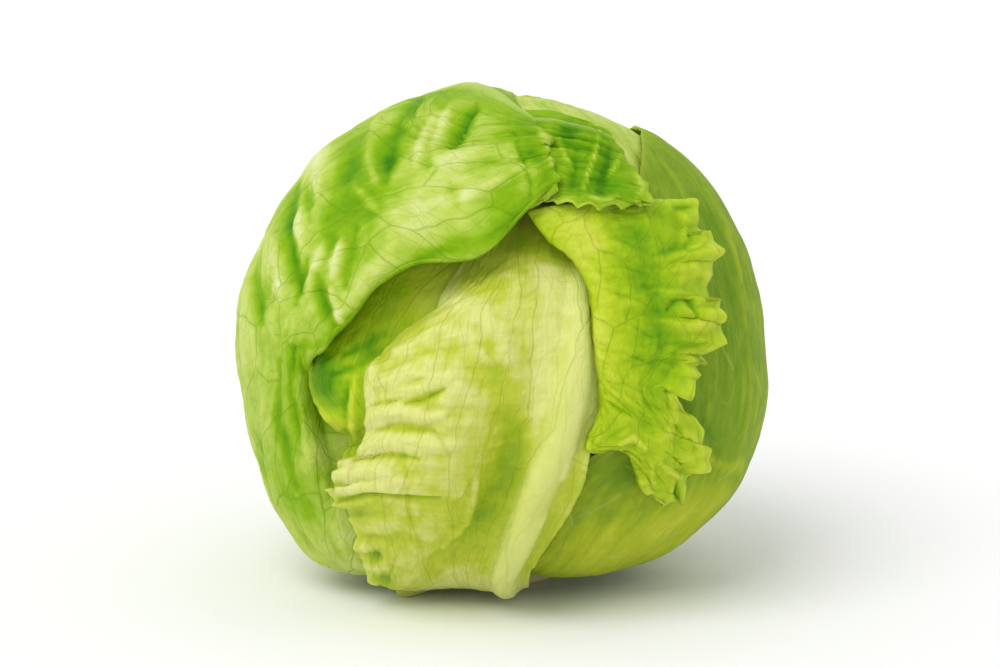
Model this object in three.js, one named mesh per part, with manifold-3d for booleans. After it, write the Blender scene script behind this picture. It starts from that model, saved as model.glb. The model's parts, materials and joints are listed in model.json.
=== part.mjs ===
// A head of iceberg lettuce, as cut and trimmed: a short stem, a dense heart and seven loose leaves round it.
// Millimetres, +Z up. The origin is the centre of the stem's cut face, on which the head stands.
// The side with the bare pale leaf faces -Y, and that is the side called the front here.
import * as THREE from "three";
import { mergeVertices } from "three/addons/utils/BufferGeometryUtils.js";
import Module from "manifold-3d";

const wasm = await Module();
wasm.setup();

// Driving dimensions of the head
const HEAD_RADIUS = 75; // from the middle of the head to a leaf of lift 0
const MIDDLE_HEIGHT = 72; // height of the middle of the head above the surface it stands on
const UNDERSIDE_HEIGHT = 5.2; // how far a leaf of lift 0 stays above that surface, under the head
const UNDERSIDE_SOFTNESS = 3; // how gently the round head turns into its flat underside

// Broad swellings of the head: longitude, latitude, height in mm, and how narrow each one is
const SWELLINGS = [
  [-73, -50, 9, 9],
  [83, -31, 8, 6],
  [-110, 58, 1.8, 5],
  [-90, -3, 3, 6],
  [98, 34, 3, 8],
  [172, -12, 4, 4],
];

// The front is also measured as it looks from here: x to the right, z up, from the middle of the head
const VIEW_ELEVATION = 12;
const VIEW_DISTANCE = 1500;

// Thickness of a leaf's blade and of its fleshy base
const BLADE = 0.9;
const FLESHY = 2.4;

const STEM_RADIUS = 16.5;
const STEM_HEIGHT = 58;
const STEM_GAP = 0.5;

const DEGREE = Math.PI / 180;
const MIDDLE = new THREE.Vector3(0, 0, MIDDLE_HEIGHT);

// A direction from the middle of the head: longitude 0 is the front, 90 the right, latitude 90 the top
function direction(longitude, latitude) {
  const across = Math.cos(latitude * DEGREE);
  return new THREE.Vector3(
    Math.sin(longitude * DEGREE) * across,
    -Math.cos(longitude * DEGREE) * across,
    Math.sin(latitude * DEGREE),
  );
}

const swellings = SWELLINGS.map(([longitude, latitude, height, focus]) => ({
  towards: direction(longitude, latitude),
  height,
  focus,
}));

// Distance from the middle of the head to its outside, along a direction
function reach(towards) {
  return swellings.reduce(
    (sum, s) => sum + s.height * Math.exp(s.focus * (towards.dot(s.towards) - 1)),
    HEAD_RADIUS,
  );
}

// A point of a leaf is a direction from the middle and a lift, which is its height above the head's form
function at(longitude, latitude, lift) {
  return { towards: direction(longitude, latitude), lift };
}

// The same, for a point of the front given by where it is seen
function seen(x, z, lift) {
  const right = new THREE.Vector3(1, 0, 0);
  const up = new THREE.Vector3(
    0,
    Math.sin(VIEW_ELEVATION * DEGREE),
    Math.cos(VIEW_ELEVATION * DEGREE),
  );
  const viewer = new THREE.Vector3(0, -up.z, up.y);
  let towards = viewer.clone();
  for (let step = 0; step < 8; step += 1) {
    const radius = reach(towards) + lift;
    const nearer = 1 - (towards.dot(viewer) * radius) / VIEW_DISTANCE;
    const across = x * nearer;
    const above = z * nearer;
    const ahead = Math.sqrt(Math.max(radius * radius - across * across - above * above, 0));
    towards = right
      .clone()
      .multiplyScalar(across)
      .addScaledVector(up, above)
      .addScaledVector(viewer, ahead)
      .normalize();
  }
  return { towards, lift };
}

// Where a direction and a lift lie in space. Under the head each leaf keeps its height over the surface.
function place(towards, lift) {
  const point = MIDDLE.clone().addScaledVector(towards, reach(towards) + lift);
  const lowest = UNDERSIDE_HEIGHT - lift;
  const above = (point.z - lowest) / UNDERSIDE_SOFTNESS;
  point.z = lowest + UNDERSIDE_SOFTNESS * (above > 30 ? above : Math.log1p(Math.exp(above)));
  return point;
}

// Weights of the control points at one place of a smooth curve through all of them
function curveWeights(count, t) {
  const first = Math.min(Math.max(Math.floor(t), 0), count - 2);
  const s = t - first;
  const four = [
    (-s * s * s + 2 * s * s - s) / 2,
    (3 * s * s * s - 5 * s * s + 2) / 2,
    (-3 * s * s * s + 4 * s * s + s) / 2,
    (s * s * s - s * s) / 2,
  ];
  const weights = new Array(count).fill(0);
  four.forEach((weight, n) => {
    const index = first - 1 + n;
    if (index < 0) {
      weights[0] += 2 * weight;
      weights[1] -= weight;
    } else if (index >= count) {
      weights[count - 1] += 2 * weight;
      weights[count - 2] -= weight;
    } else {
      weights[index] += weight;
    }
  });
  return weights;
}

// The point of a net of control points at column u and row v
function onNet(net, u, v) {
  const across = curveWeights(net[0].length, u);
  const along = curveWeights(net.length, v);
  const towards = new THREE.Vector3();
  let lift = 0;
  net.forEach((row, i) => {
    if (along[i] === 0) return;
    row.forEach((control, j) => {
      towards.addScaledVector(control.towards, along[i] * across[j]);
      lift += control.lift * along[i] * across[j];
    });
  });
  return place(towards.normalize(), lift);
}

function smooth(from, to, value) {
  const t = Math.min(Math.max((value - from) / (to - from), 0), 1);
  return t * t * (3 - 2 * t);
}

// How far a toothed margin is cut back, from 0 at the tip of a tooth to 1 between two teeth
function toothCut(along, teeth) {
  const place01 = along * teeth + 0.3 * Math.sin(along * 5.3);
  const inTooth = place01 - Math.floor(place01);
  const tip = 1 - Math.abs(2 * inTooth - 1);
  return (1 - tip ** 1.4) * (0.75 + 0.25 * Math.sin(along * teeth * 2.1 + 1));
}

// Uneven swelling of the blades between their veins, from waves that run in many directions.
// It is the same for all leaves along one direction from the middle, so leaves that lie on each other nest.
const WAVE_LENGTHS = [46, 38, 31, 26, 22, 19];
const GOLDEN_ANGLE = 2.39996;
function pucker(point) {
  const onHead = point.clone().sub(MIDDLE).normalize().multiplyScalar(HEAD_RADIUS);
  return WAVE_LENGTHS.reduce((sum, length, n) => {
    const rise = 1 - (2 * (n + 0.5)) / WAVE_LENGTHS.length;
    const turn = n * GOLDEN_ANGLE;
    const level = Math.sqrt(1 - rise * rise);
    const along = onHead.x * Math.cos(turn) * level + onHead.y * Math.sin(turn) * level + onHead.z * rise;
    return sum + Math.sin((along * 2 * Math.PI) / length + n) / WAVE_LENGTHS.length;
  }, 0);
}

// A leaf as one closed solid: its net of control points, with these choices
//   cells        cells across and along the leaf
//   rib          [column, height, half-width]: the midrib that stands out of the outer face
//   puckers      depth of the uneven swelling
//   teeth        [side, number, depth, reach]: toothed margin at the left, right or tip, in columns or rows
//   ruffle       [side, waves, height, reach]: waved margin, in the same terms
//   dents        places where the blade is pressed in
function leaf(name, net, choices) {
  const [columns, rows] = choices.cells;
  const lastColumn = net[0].length - 1;
  const lastRow = net.length - 1;
  const fromMargin = { left: (u) => u, right: (u) => lastColumn - u, tip: (u, v) => lastRow - v };

  function gridPoint(i, j) {
    let u = (i / columns) * lastColumn;
    let v = (j / rows) * lastRow;
    for (const [side, number, depth, reachIn] of choices.teeth ?? []) {
      const fade = Math.max(0, 1 - fromMargin[side](u, v) / reachIn) ** 2;
      const cut = depth * fade * toothCut(side === "tip" ? u / lastColumn : v / lastRow, number);
      if (side === "left") u += cut;
      if (side === "right") u -= cut;
      if (side === "tip") v -= cut;
    }
    return { u, v, point: onNet(net, u, v) };
  }

  const grid = [];
  for (let j = 0; j <= rows; j += 1) {
    for (let i = 0; i <= columns; i += 1) grid.push(gridPoint(i, j));
  }
  const index = (i, j) => j * (columns + 1) + i;
  const normals = grid.map((cell, n) => {
    const i = n % (columns + 1);
    const j = Math.floor(n / (columns + 1));
    const across = grid[index(Math.min(i + 1, columns), j)].point
      .clone()
      .sub(grid[index(Math.max(i - 1, 0), j)].point);
    const along = grid[index(i, Math.min(j + 1, rows))].point
      .clone()
      .sub(grid[index(i, Math.max(j - 1, 0))].point);
    return across.cross(along).normalize();
  });

  const outer = [];
  const inner = [];
  grid.forEach(({ u, v, point }, n) => {
    const awayFromBase = smooth(0, 1.6, v);
    let raise = (choices.puckers ?? 0) * pucker(point) * awayFromBase;
    for (const [side, waves, height, reachIn] of choices.ruffle ?? []) {
      const near = Math.max(0, 1 - fromMargin[side](u, v) / reachIn) ** 1.5;
      const along = side === "tip" ? u / lastColumn : v / lastRow;
      raise += height * near * Math.sin(along * waves * 2 * Math.PI + 0.8 * Math.sin(along * 9));
    }
    for (const dent of choices.dents ?? []) raise -= dent(point);
    let ridge = 0;
    if (choices.rib) {
      const [column, height, halfWidth] = choices.rib;
      const narrowing = 1 - 0.6 * (v / lastRow);
      const beside = (u - column) / (halfWidth * narrowing);
      ridge = height * narrowing * Math.exp(-beside * beside) * smooth(0, 1, v);
    }
    const half = (BLADE + (FLESHY - BLADE) * (1 - awayFromBase)) / 2;
    outer.push(point.clone().addScaledVector(normals[n], raise + half + ridge));
    inner.push(point.clone().addScaledVector(normals[n], raise - half));
  });

  const vertices = [...outer, ...inner].flatMap((p) => [p.x, p.y, p.z]);
  const under = outer.length;
  const faces = [];
  const quad = (a, b, c, d) => faces.push(a, b, c, a, c, d);
  for (let j = 0; j < rows; j += 1) {
    for (let i = 0; i < columns; i += 1) {
      const [a, b, c, d] = [index(i, j), index(i + 1, j), index(i + 1, j + 1), index(i, j + 1)];
      faces.push(a, b, c, a, c, d);
      faces.push(under + a, under + c, under + b, under + a, under + d, under + c);
    }
  }
  for (let i = 0; i < columns; i += 1) {
    quad(under + index(i, 0), under + index(i + 1, 0), index(i + 1, 0), index(i, 0));
    quad(index(i, rows), index(i + 1, rows), under + index(i + 1, rows), under + index(i, rows));
  }
  for (let j = 0; j < rows; j += 1) {
    quad(index(0, j), index(0, j + 1), under + index(0, j + 1), under + index(0, j));
    quad(under + index(columns, j), under + index(columns, j + 1), index(columns, j + 1), index(columns, j));
  }
  const geometry = new THREE.BufferGeometry();
  geometry.setAttribute("position", new THREE.Float32BufferAttribute(vertices, 3));
  geometry.setIndex(faces);
  return mesh(name, geometry, choices.material);
}

function mesh(name, geometry, material) {
  geometry.computeVertexNormals();
  const made = new THREE.Mesh(geometry, material);
  made.name = name;
  return made;
}

// A long dent in the front of the head, at x and z as seen. Its slant is measured from upright.
function dentAt(x, z, slant, length, width, depth) {
  const spot = seen(x, z, 0);
  const middle = place(spot.towards, 0);
  const run = new THREE.Vector3(Math.sin(slant * DEGREE), 0, Math.cos(slant * DEGREE));
  run.addScaledVector(spot.towards, -run.dot(spot.towards)).normalize();
  return (point) => {
    const away = point.clone().sub(middle);
    const along = away.dot(run);
    const beside = Math.sqrt(Math.max(away.lengthSq() - along * along, 0));
    return depth * Math.exp(-((along / length) ** 2) - (beside / width) ** 2);
  };
}

// Materials
const green = (color) => new THREE.MeshStandardMaterial({ color, roughness: 0.45, metalness: 0 });
const outerGreen = green(0x9cc043);
const frillGreen = green(0x9fc52e);
const paleGreen = green(0xc9d46a);
const shadeGreen = green(0x86ad3c);
const heartGreen = green(0xd5dc8c);
const stemWhite = new THREE.MeshStandardMaterial({ color: 0xe3dcb4, roughness: 0.6, metalness: 0 });

// The big leaf of the left side and the top. Its front margin rolls in as a lip over the pale leaf,
// lower down it runs in under that leaf, and its tip lies crumpled on the right of the top.
// Each row goes from the back margin to the front margin, and the rows from the base to the tip.
const hoodNet = [
  [
    at(-150, -75, -2), at(-124, -75, -2), at(-98, -75, -2), at(-74, -75, -2.5), at(-54, -75, -3),
    at(-38, -75, -5), at(-26, -75, -7),
  ],
  [
    at(-156, -52, 0), at(-124, -52, 0), at(-92, -50, 0), at(-66, -50, 1), seen(-45, -69, 0),
    seen(-36, -64, -3), seen(-27, -62, -7),
  ],
  [
    at(-160, -28, 0), at(-125, -28, 0), at(-92, -28, 0), seen(-69, -38, 0), seen(-57, -39, -0.5),
    seen(-48, -41, -5.5), seen(-35, -42, -10),
  ],
  [
    at(-166, -4, 0), at(-128, -3, 0), at(-94, -3, 0), seen(-69, -13, 1), seen(-61.5, -12, 0.5),
    seen(-54, -15, -6.5), seen(-42, -17, -11),
  ],
  [
    at(-172, 20, 0), at(-132, 22, 0.5), at(-98, 18, 0.5), seen(-70, 8, 2), seen(-62, 3, 3),
    seen(-57.5, -4, 1.5), seen(-59.5, 0.5, -5),
  ],
  [
    at(180, 44, 0), at(-145, 50, 0.3), at(-102, 45, 0), seen(-62, 28, 3), seen(-51, 20, 5),
    seen(-44, 11, 3.5), seen(-45, 17, -6),
  ],
  [
    at(160, 62, 0), at(-165, 72, 0), at(-96, 70, 0.8), seen(-41, 46, 4), seen(-33, 36, 6),
    seen(-28, 23, 5), seen(-29, 29, -6),
  ],
  [
    at(172, 72, -0.8), at(172, 84, -0.8), seen(-21, 66, 1.8), seen(-16, 53, 5), seen(-11, 40, 7),
    seen(-6, 26, 6), seen(-8, 32, -5),
  ],
  [
    seen(4, 71, -1), seen(8, 67.5, 1), seen(11, 63, 4), seen(13.5, 58, 7.5), seen(15.5, 53, 9),
    seen(16.5, 48, 9.5), seen(16, 43.5, 8.5),
  ],
  [
    seen(5, 70.5, -0.8), seen(7, 67, 0.2), seen(9, 62.5, 1), seen(10, 57.5, 3.5), seen(11, 52, 5),
    seen(12, 46, 5.5), seen(12, 42.5, 4.5),
  ],
  [
    seen(17, 68, 1.4), seen(19, 66, 3.2), seen(21, 62, 5.4), seen(22, 57, 6.4), seen(22.5, 51, 7.5),
    seen(22.5, 45.5, 8.5), seen(21.5, 41, 8),
  ],
  [
    seen(29, 64, 3.5), seen(33, 61, 4.8), seen(37, 57, 6), seen(40, 52, 7), seen(43, 47, 8.5),
    seen(44.5, 42.5, 9), seen(42, 40, 8.5),
  ],
];
const hoodDents = [
  dentAt(-34, 52, 25, 13, 5, 3),
  dentAt(-13, 63, 32, 8, 3.5, 3.2),
  dentAt(-47, 42, 12, 20, 5, 2.6),
  dentAt(-62, 22, 6, 16, 4, 2.2),
  dentAt(-50, 14, 20, 8, 4, 1.8),
  dentAt(-70, -30, -14, 18, 4, 2.4),
];

// The bare pale leaf of the front, with its thick midrib, toothed at the left where its blade is crumpled
const frontNet = [
  [at(-40, -75, 2), at(-24, -75, 2), at(-10, -75, 2), at(3, -75, 2), at(14, -75, 1.5), at(24, -75, 1)],
  [
    seen(-37, -75, 3.5), seen(-27, -76, 2.5), seen(-15, -69, 0.5), seen(-7, -71, 1.5), seen(1, -71, 2),
    seen(9, -69, 1),
  ],
  [
    seen(-43, -62, 4), seen(-31, -60, 5), seen(-16, -58, 3), seen(-4, -58, -0.5), seen(6, -58, 2.5),
    seen(15.5, -56.5, 0),
  ],
  [
    seen(-51, -46, 4), seen(-35, -44, 8.5), seen(-17, -45, 7), seen(-1, -45, -3), seen(12, -43.5, 2.5),
    seen(23, -43, -1),
  ],
  [
    seen(-43, -32, 4), seen(-31, -28, 8.5), seen(-14, -30, 8), seen(4, -29, -1.5), seen(18, -28, 2),
    seen(26, -31, -1),
  ],
  [
    seen(-41, -15, 1), seen(-28, -11, 7.5), seen(-10, -12, 6.5), seen(9, -11, -0.5), seen(22, -10, 0.3),
    seen(31.5, -13, -9.8),
  ],
  [
    seen(-36, -2, -3), seen(-23, 3, 4), seen(-6, 8, 3), seen(11, 9, -1), seen(23.5, 9, -3),
    seen(33.5, 9, -11),
  ],
  [
    seen(-21, 10, -7), seen(-9, 17, -4), seen(0, 23, -5), seen(12, 26, -6), seen(24, 25, -7.5),
    seen(34, 26, -12),
  ],
  [
    seen(-11, 24, -10.5), seen(-4, 33, -10), seen(4, 38, -10), seen(13, 41, -10), seen(22, 39, -11),
    seen(28, 37, -13),
  ],
];

// The leaf whose front margin comes out past the right leaf and folds back over it, ruffled and toothed.
// Each row goes from the toothed margin over the fold to the back margin.
const frillNet = [
  [
    at(54, -75, -6), at(62, -75, -6), at(70, -75, -6), at(80, -75, -6), at(92, -75, -6),
    at(108, -75, -6), at(126, -75, -6),
  ],
  [
    at(30, -48, -6), at(36, -48, -6), at(44, -48, -6), at(54, -48, -5.5), at(68, -48, -5),
    at(92, -48, -5), at(116, -48, -5),
  ],
  [
    seen(27, -37, -6), seen(28, -36, -6), seen(30, -35, -6), seen(33, -34, -6), seen(38, -33, -6),
    at(82, -26, -5), at(108, -26, -5),
  ],
  [
    seen(27.5, -33, 1), seen(27.5, -31, 0), seen(28, -29.5, -1), seen(29, -28, -3), seen(35, -28, -5.5),
    at(78, -20, -5), at(106, -18, -5),
  ],
  [
    seen(42, -37, 5), seen(35, -32, 4.5), seen(30, -28, 4), seen(29.5, -24, 0.5), seen(35, -23, -4.5),
    at(76, -14, -5), at(106, -12, -5),
  ],
  [
    seen(57, -47, 7), seen(44, -35, 7), seen(33, -24, 5), seen(30.5, -19, 0.5), seen(35, -19, -4),
    at(76, -8, -5), at(106, -6, -5),
  ],
  [
    seen(61, -33, 8), seen(46, -26, 7.5), seen(33, -17, 5), seen(30.5, -13, 0.5), seen(35, -13, -4),
    at(76, -1, -5), at(106, 0, -5),
  ],
  [
    seen(49, -15, 7.5), seen(41, -14, 7), seen(32.5, -9, 5.5), seen(29.5, -6, 1), seen(34, -6, -4),
    at(76, 7, -5), at(106, 7, -5),
  ],
  [
    seen(67, -1, 8), seen(48, 0, 7.5), seen(32.5, 1, 5.5), seen(29, 3, 1), seen(34, 3, -4),
    at(76, 14, -5), at(106, 14, -5),
  ],
  [
    seen(66, 13, 8), seen(48, 13, 7), seen(32, 13, 5.5), seen(27.5, 14, 1), seen(32.5, 14, -4),
    at(76, 22, -5), at(106, 22, -5),
  ],
  [
    seen(66, 27, 8), seen(46, 24, 7), seen(28.5, 24, 5.5), seen(22.5, 24, 1), seen(28, 26, -4.5),
    at(74, 30, -6), at(104, 30, -6),
  ],
  [
    seen(60, 37, 7.5), seen(42, 35, 6.5), seen(23, 33, 5.5), seen(14, 31.5, 1), seen(22, 34, -5),
    at(68, 36, -7.5), at(100, 36, -7.5),
  ],
  [
    seen(56, 43, 6), seen(38, 42, 6), seen(20, 41, 5), seen(8.5, 39, 1), seen(16, 41, -7),
    at(56, 40, -9), at(92, 41, -9),
  ],
];

// The smooth wrapper leaf of the right side
const rightNet = [
  [
    at(8, -75, -2.5), at(36, -75, -2), at(68, -75, -2), at(100, -75, -2), at(126, -75, -2),
    at(146, -75, -2),
  ],
  [at(8, -54, -4), at(36, -51, 0), at(68, -50, 0), at(100, -50, 0), at(128, -50, 0), at(150, -50, -1)],
  [
    seen(16, -43.5, -6), at(44, -28, 0), at(72, -27, 0), at(100, -26, 0), at(128, -26, 0),
    at(154, -26, -1),
  ],
  [seen(33, -29.5, -1.8), at(50, -6, 0), at(74, -4, 0), at(102, -2, 0), at(130, -2, 0), at(156, -2, -1)],
  [seen(40, -8, -1), at(52, 14, 0), at(76, 18, 0), at(104, 20, 0), at(132, 20, 0), at(156, 18, -1)],
  [seen(42, 17, -1), at(56, 32, 0), at(80, 38, 0), at(108, 40, 0), at(134, 38, 0), at(156, 34, -1)],
  [
    seen(40.5, 43.5, -1.6), seen(43, 57.5, -1.3), at(99, 53, -1.2), at(116, 52, -0.8), at(134, 50, 0),
    at(150, 46, -1),
  ],
];

// A leaf of the heart that bulges out at the left, between the lip above and the pale leaf in front
const bulgeNet = [
  [at(-24, -75, -2.5), at(-16, -75, -2.5), at(-8, -75, -2.5), at(0, -75, -3)],
  [seen(-24, -56, -3.5), seen(-17, -54, -2.5), seen(-10, -54, -4), seen(-4, -56, -4.5)],
  [seen(-38, -37, -3.5), seen(-28, -35, -1.5), seen(-16, -36, -3), seen(-5, -38, -7)],
  [seen(-50, -27, -3), seen(-40, -25, -1), seen(-27, -24, 0), seen(-8, -24, -4)],
  [seen(-56.5, -14, -2.8), seen(-48, -13, -1.2), seen(-34, -12, -2), seen(-12, -10, -5)],
  [seen(-53, -5.5, -5), seen(-44.5, 0, -4.8), seen(-32, 4, -9), seen(-12, 7, -11)],
  [seen(-50, 6, -10), seen(-40, 14, -9), seen(-22, 20, -12), seen(-6, 22, -13.5)],
  [seen(-40, 21, -12), seen(-29, 28, -12), seen(-14, 33, -13.6), seen(0, 34, -13.6)],
];

// The wrapper leaf of the back, outermost there, with a strong midrib
const backNet = [
  [at(142, -75, 2), at(162, -75, 2), at(184, -75, 2), at(206, -75, 2), at(224, -75, 2)],
  [at(130, -50, 3.5), at(155, -50, 4), at(183, -50, 4), at(212, -50, 4), at(232, -50, 3.5)],
  [at(124, -25, 3.5), at(151, -25, 4), at(182, -25, 4), at(214, -25, 4), at(236, -25, 3.5)],
  [at(124, 0, 3.5), at(150, 0, 4), at(181, 0, 4), at(214, 0, 4), at(234, -2, 3.5)],
  [at(130, 20, 3.5), at(153, 23, 4), at(180, 24, 4), at(208, 22, 4), at(228, 16, 4)],
  [at(140, 36, 4), at(158, 42, 4), at(180, 45, 4), at(202, 42, 4.5), at(218, 34, 5)],
  [at(154, 48, 4), at(166, 55, 4), at(180, 58, 4), at(194, 55, 5), at(206, 46, 6)],
];

// The leaf inside that one, which passes over the top and shows behind the crumpled tip
const crownNet = [
  [at(146, -75, -8), at(164, -75, -8), at(184, -75, -8), at(204, -75, -8), at(222, -75, -8)],
  [at(126, -45, -9), at(154, -45, -9), at(183, -45, -9), at(212, -45, -9), at(238, -45, -9)],
  [at(116, -10, -9), at(150, -10, -9), at(182, -10, -9), at(214, -10, -9), at(244, -10, -9)],
  [at(112, 26, -9), at(148, 28, -9), at(180, 28, -9), at(212, 28, -9), at(244, 26, -9)],
  [at(104, 43, -5), at(132, 58, -3.5), at(180, 68, -4.5), at(224, 62, -6), at(250, 52, -8)],
  [at(87, 45, -2.9), at(78, 68, -2.2), at(-20, 86, -3), at(-98, 78, -5), at(-106, 66, -6)],
  [seen(58, 41, -5), seen(45, 45, -4.2), seen(23, 52, -2.5), seen(-10, 58, -4.5), seen(-32, 54, -6)],
];

// The heart: a ball of leaves wrapped tightly, each margin a low step that winds up round it
const HEART_LIFT = -17;
const HEART_CELLS = [30, 16];
const HEART_LEAVES = 5;
function heartGeometry() {
  const [around, up] = HEART_CELLS;
  const steps = (longitude, latitude) => {
    const winding = (HEART_LEAVES * (longitude + latitude * 0.9)) / 360;
    return (winding - Math.floor(winding)) ** 2;
  };
  const vertices = [];
  const point = (longitude, latitude) => {
    const lift = HEART_LIFT + 1.8 * steps(longitude, latitude) * Math.cos(latitude * DEGREE);
    const p = place(direction(longitude, latitude), lift);
    vertices.push(p.x, p.y, p.z);
  };
  for (let j = 1; j < up; j += 1) {
    for (let i = 0; i < around; i += 1) point((i * 360) / around, -90 + (j * 180) / up);
  }
  const bottom = vertices.length / 3;
  point(0, -90);
  point(0, 90);
  const faces = [];
  const index = (i, j) => (j - 1) * around + (i % around);
  for (let i = 0; i < around; i += 1) {
    faces.push(bottom, index(i + 1, 1), index(i, 1));
    faces.push(bottom + 1, index(i, up - 1), index(i + 1, up - 1));
    for (let j = 1; j < up - 1; j += 1) {
      faces.push(index(i, j), index(i + 1, j), index(i + 1, j + 1));
      faces.push(index(i, j), index(i + 1, j + 1), index(i, j + 1));
    }
  }
  const geometry = new THREE.BufferGeometry();
  geometry.setAttribute("position", new THREE.Float32BufferAttribute(vertices, 3));
  geometry.setIndex(faces);
  return geometry;
}

// The stem: cut flat below, straight where the leaves grow from it, and tapering up into the heart
function stemGeometry(grow) {
  const profile = [
    [0, 0],
    [STEM_RADIUS - 0.8, 0],
    [STEM_RADIUS, 1],
    [STEM_RADIUS + 0.6, 12],
    [STEM_RADIUS - 1, 22],
    [STEM_RADIUS - 5, 38],
    [STEM_RADIUS - 9, STEM_HEIGHT - 6],
    [STEM_RADIUS - 14, STEM_HEIGHT],
    [0, STEM_HEIGHT + 0.5],
  ].map(([radius, height], n, all) => {
    const end = n === 0 || n === all.length - 1;
    return new THREE.Vector2(end ? 0 : radius + grow, n === 0 ? -grow : height + (n > 4 ? grow : 0));
  });
  if (grow) profile[1].y = -grow;
  return new THREE.LatheGeometry(profile, 28).rotateX(Math.PI / 2);
}

// Solids cut by one another
function solid(geometry) {
  const bare = geometry.clone();
  bare.deleteAttribute("normal");
  bare.deleteAttribute("uv");
  const merged = mergeVertices(bare, 1e-3);
  return new wasm.Manifold(
    new wasm.Mesh({
      numProp: 3,
      vertProperties: new Float32Array(merged.attributes.position.array),
      triVerts: new Uint32Array(merged.index.array),
    }),
  );
}

function geometryOf(manifold) {
  const { vertProperties, triVerts } = manifold.getMesh();
  const geometry = new THREE.BufferGeometry();
  geometry.setAttribute("position", new THREE.Float32BufferAttribute(vertProperties, 3));
  geometry.setIndex([...triVerts]);
  return geometry;
}

const heartSolid = solid(heartGeometry()).subtract(solid(stemGeometry(STEM_GAP)));

const head = new THREE.Group();
head.add(
  mesh("stem", stemGeometry(0), stemWhite),
  mesh("heart", geometryOf(heartSolid), heartGreen),
  leaf("leaf_hood", hoodNet, {
    cells: [22, 40],
    material: outerGreen,
    puckers: 1.4,
    rib: [2, 2, 0.35],
    teeth: [["right", 11, 0.1, 1]],
    dents: hoodDents,
  }),
  leaf("leaf_front", frontNet, {
    cells: [24, 28],
    material: paleGreen,
    puckers: 0.8,
    rib: [4, 4, 0.5],
    teeth: [["left", 13, 0.3, 1.2]],
    ruffle: [["left", 5, 1.6, 1.2]],
  }),
  leaf("leaf_frill", frillNet, {
    cells: [24, 40],
    material: frillGreen,
    puckers: 0.8,
    teeth: [["left", 21, 0.22, 1]],
    ruffle: [["left", 8, 1.6, 1.4]],
  }),
  leaf("leaf_right", rightNet, {
    cells: [18, 18],
    material: shadeGreen,
    puckers: 1,
    rib: [3, 2, 0.3],
  }),
  leaf("leaf_bulge", bulgeNet, { cells: [12, 20], material: frillGreen, puckers: 0.4 }),
  leaf("leaf_back", backNet, {
    cells: [18, 20],
    material: outerGreen,
    puckers: 1.2,
    rib: [2, 3.5, 0.3],
    ruffle: [["tip", 4, 1.5, 1]],
  }),
  leaf("leaf_crown", crownNet, {
    cells: [16, 18],
    material: outerGreen,
    puckers: 0.8,
    rib: [2, 1, 0.3],
  }),
);

export default head;
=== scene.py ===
"""The looks of a head of iceberg lettuce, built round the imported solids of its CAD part.

Each leaf is grown again from the net of control points that its solid has, far finer, with ragged
margins, folds, blisters, veins and a thick midrib. Shapes are worked out in millimetres from the
centre of the stem's cut face, +Z up and the bare pale leaf towards -Y, and end as metres in a mesh.
"""

import json
import math

import bpy
import numpy as np
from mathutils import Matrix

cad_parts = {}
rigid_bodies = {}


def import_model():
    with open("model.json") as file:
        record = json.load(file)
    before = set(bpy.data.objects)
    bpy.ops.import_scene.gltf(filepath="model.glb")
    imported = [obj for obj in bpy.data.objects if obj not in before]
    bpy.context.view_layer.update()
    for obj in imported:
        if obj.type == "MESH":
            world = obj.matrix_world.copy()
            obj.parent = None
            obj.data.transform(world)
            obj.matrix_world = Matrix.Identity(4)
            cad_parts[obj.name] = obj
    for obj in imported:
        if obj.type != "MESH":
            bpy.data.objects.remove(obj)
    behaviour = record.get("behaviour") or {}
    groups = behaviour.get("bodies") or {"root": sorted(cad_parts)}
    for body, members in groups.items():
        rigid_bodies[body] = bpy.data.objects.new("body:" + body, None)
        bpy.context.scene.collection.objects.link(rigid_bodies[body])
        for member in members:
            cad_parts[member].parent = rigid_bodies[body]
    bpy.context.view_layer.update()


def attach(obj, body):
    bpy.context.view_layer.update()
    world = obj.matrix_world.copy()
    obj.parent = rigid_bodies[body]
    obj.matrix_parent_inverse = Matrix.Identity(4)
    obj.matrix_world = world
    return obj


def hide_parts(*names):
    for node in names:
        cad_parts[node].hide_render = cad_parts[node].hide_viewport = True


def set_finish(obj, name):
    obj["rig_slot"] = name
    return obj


MM = 0.001

# Driving dimensions of the head, the same as in the part
HEAD_RADIUS = 75.0
MIDDLE_HEIGHT = 72.0
UNDERSIDE_HEIGHT = 5.2
UNDERSIDE_SOFTNESS = 3.0
MIDDLE = np.array([0.0, 0.0, MIDDLE_HEIGHT])

# Broad swellings of the head: longitude, latitude, height and how narrow each one is
SWELLINGS = [
    (-73, -50, 9, 9),
    (83, -31, 8, 6),
    (-110, 58, 1.8, 5),
    (-90, -3, 3, 6),
    (98, 34, 3, 8),
    (172, -12, 4, 4),
]

# The front is measured as it is seen from here, x to the right and z up from the middle of the head
VIEW_ELEVATION = math.radians(12)
VIEW_DISTANCE = 1500.0
VIEW_RIGHT = np.array([1.0, 0.0, 0.0])
VIEW_UP = np.array([0.0, math.sin(VIEW_ELEVATION), math.cos(VIEW_ELEVATION)])
VIEWER = np.array([0.0, -math.cos(VIEW_ELEVATION), math.sin(VIEW_ELEVATION)])

# Thickness of a leaf's blade, of its margin and of its fleshy base
BLADE = 0.9
MARGIN = 0.35
FLESHY = 2.4

# Noise on the flat plans of the leaves: the step from level to level, and its size across them
LEVEL_STEP = 37.0
LEVEL_SIZE = 50

# Painted shade and light: how much greener a blade is painted in its hollows, and paler on its ridges, for
# each millimetre
HOLLOW_PAINTED_SHADE = 0.12
RIDGE_PAINTED_LIGHT = 0.07

# How far in from a margin the blade thins, and how far in it is tinted
THINNING = 2.0
MARGIN_TINT = 2.5

# Below this height the blades flatten on to the floor
FLOOR_SOFTNESS = 0.8


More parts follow.
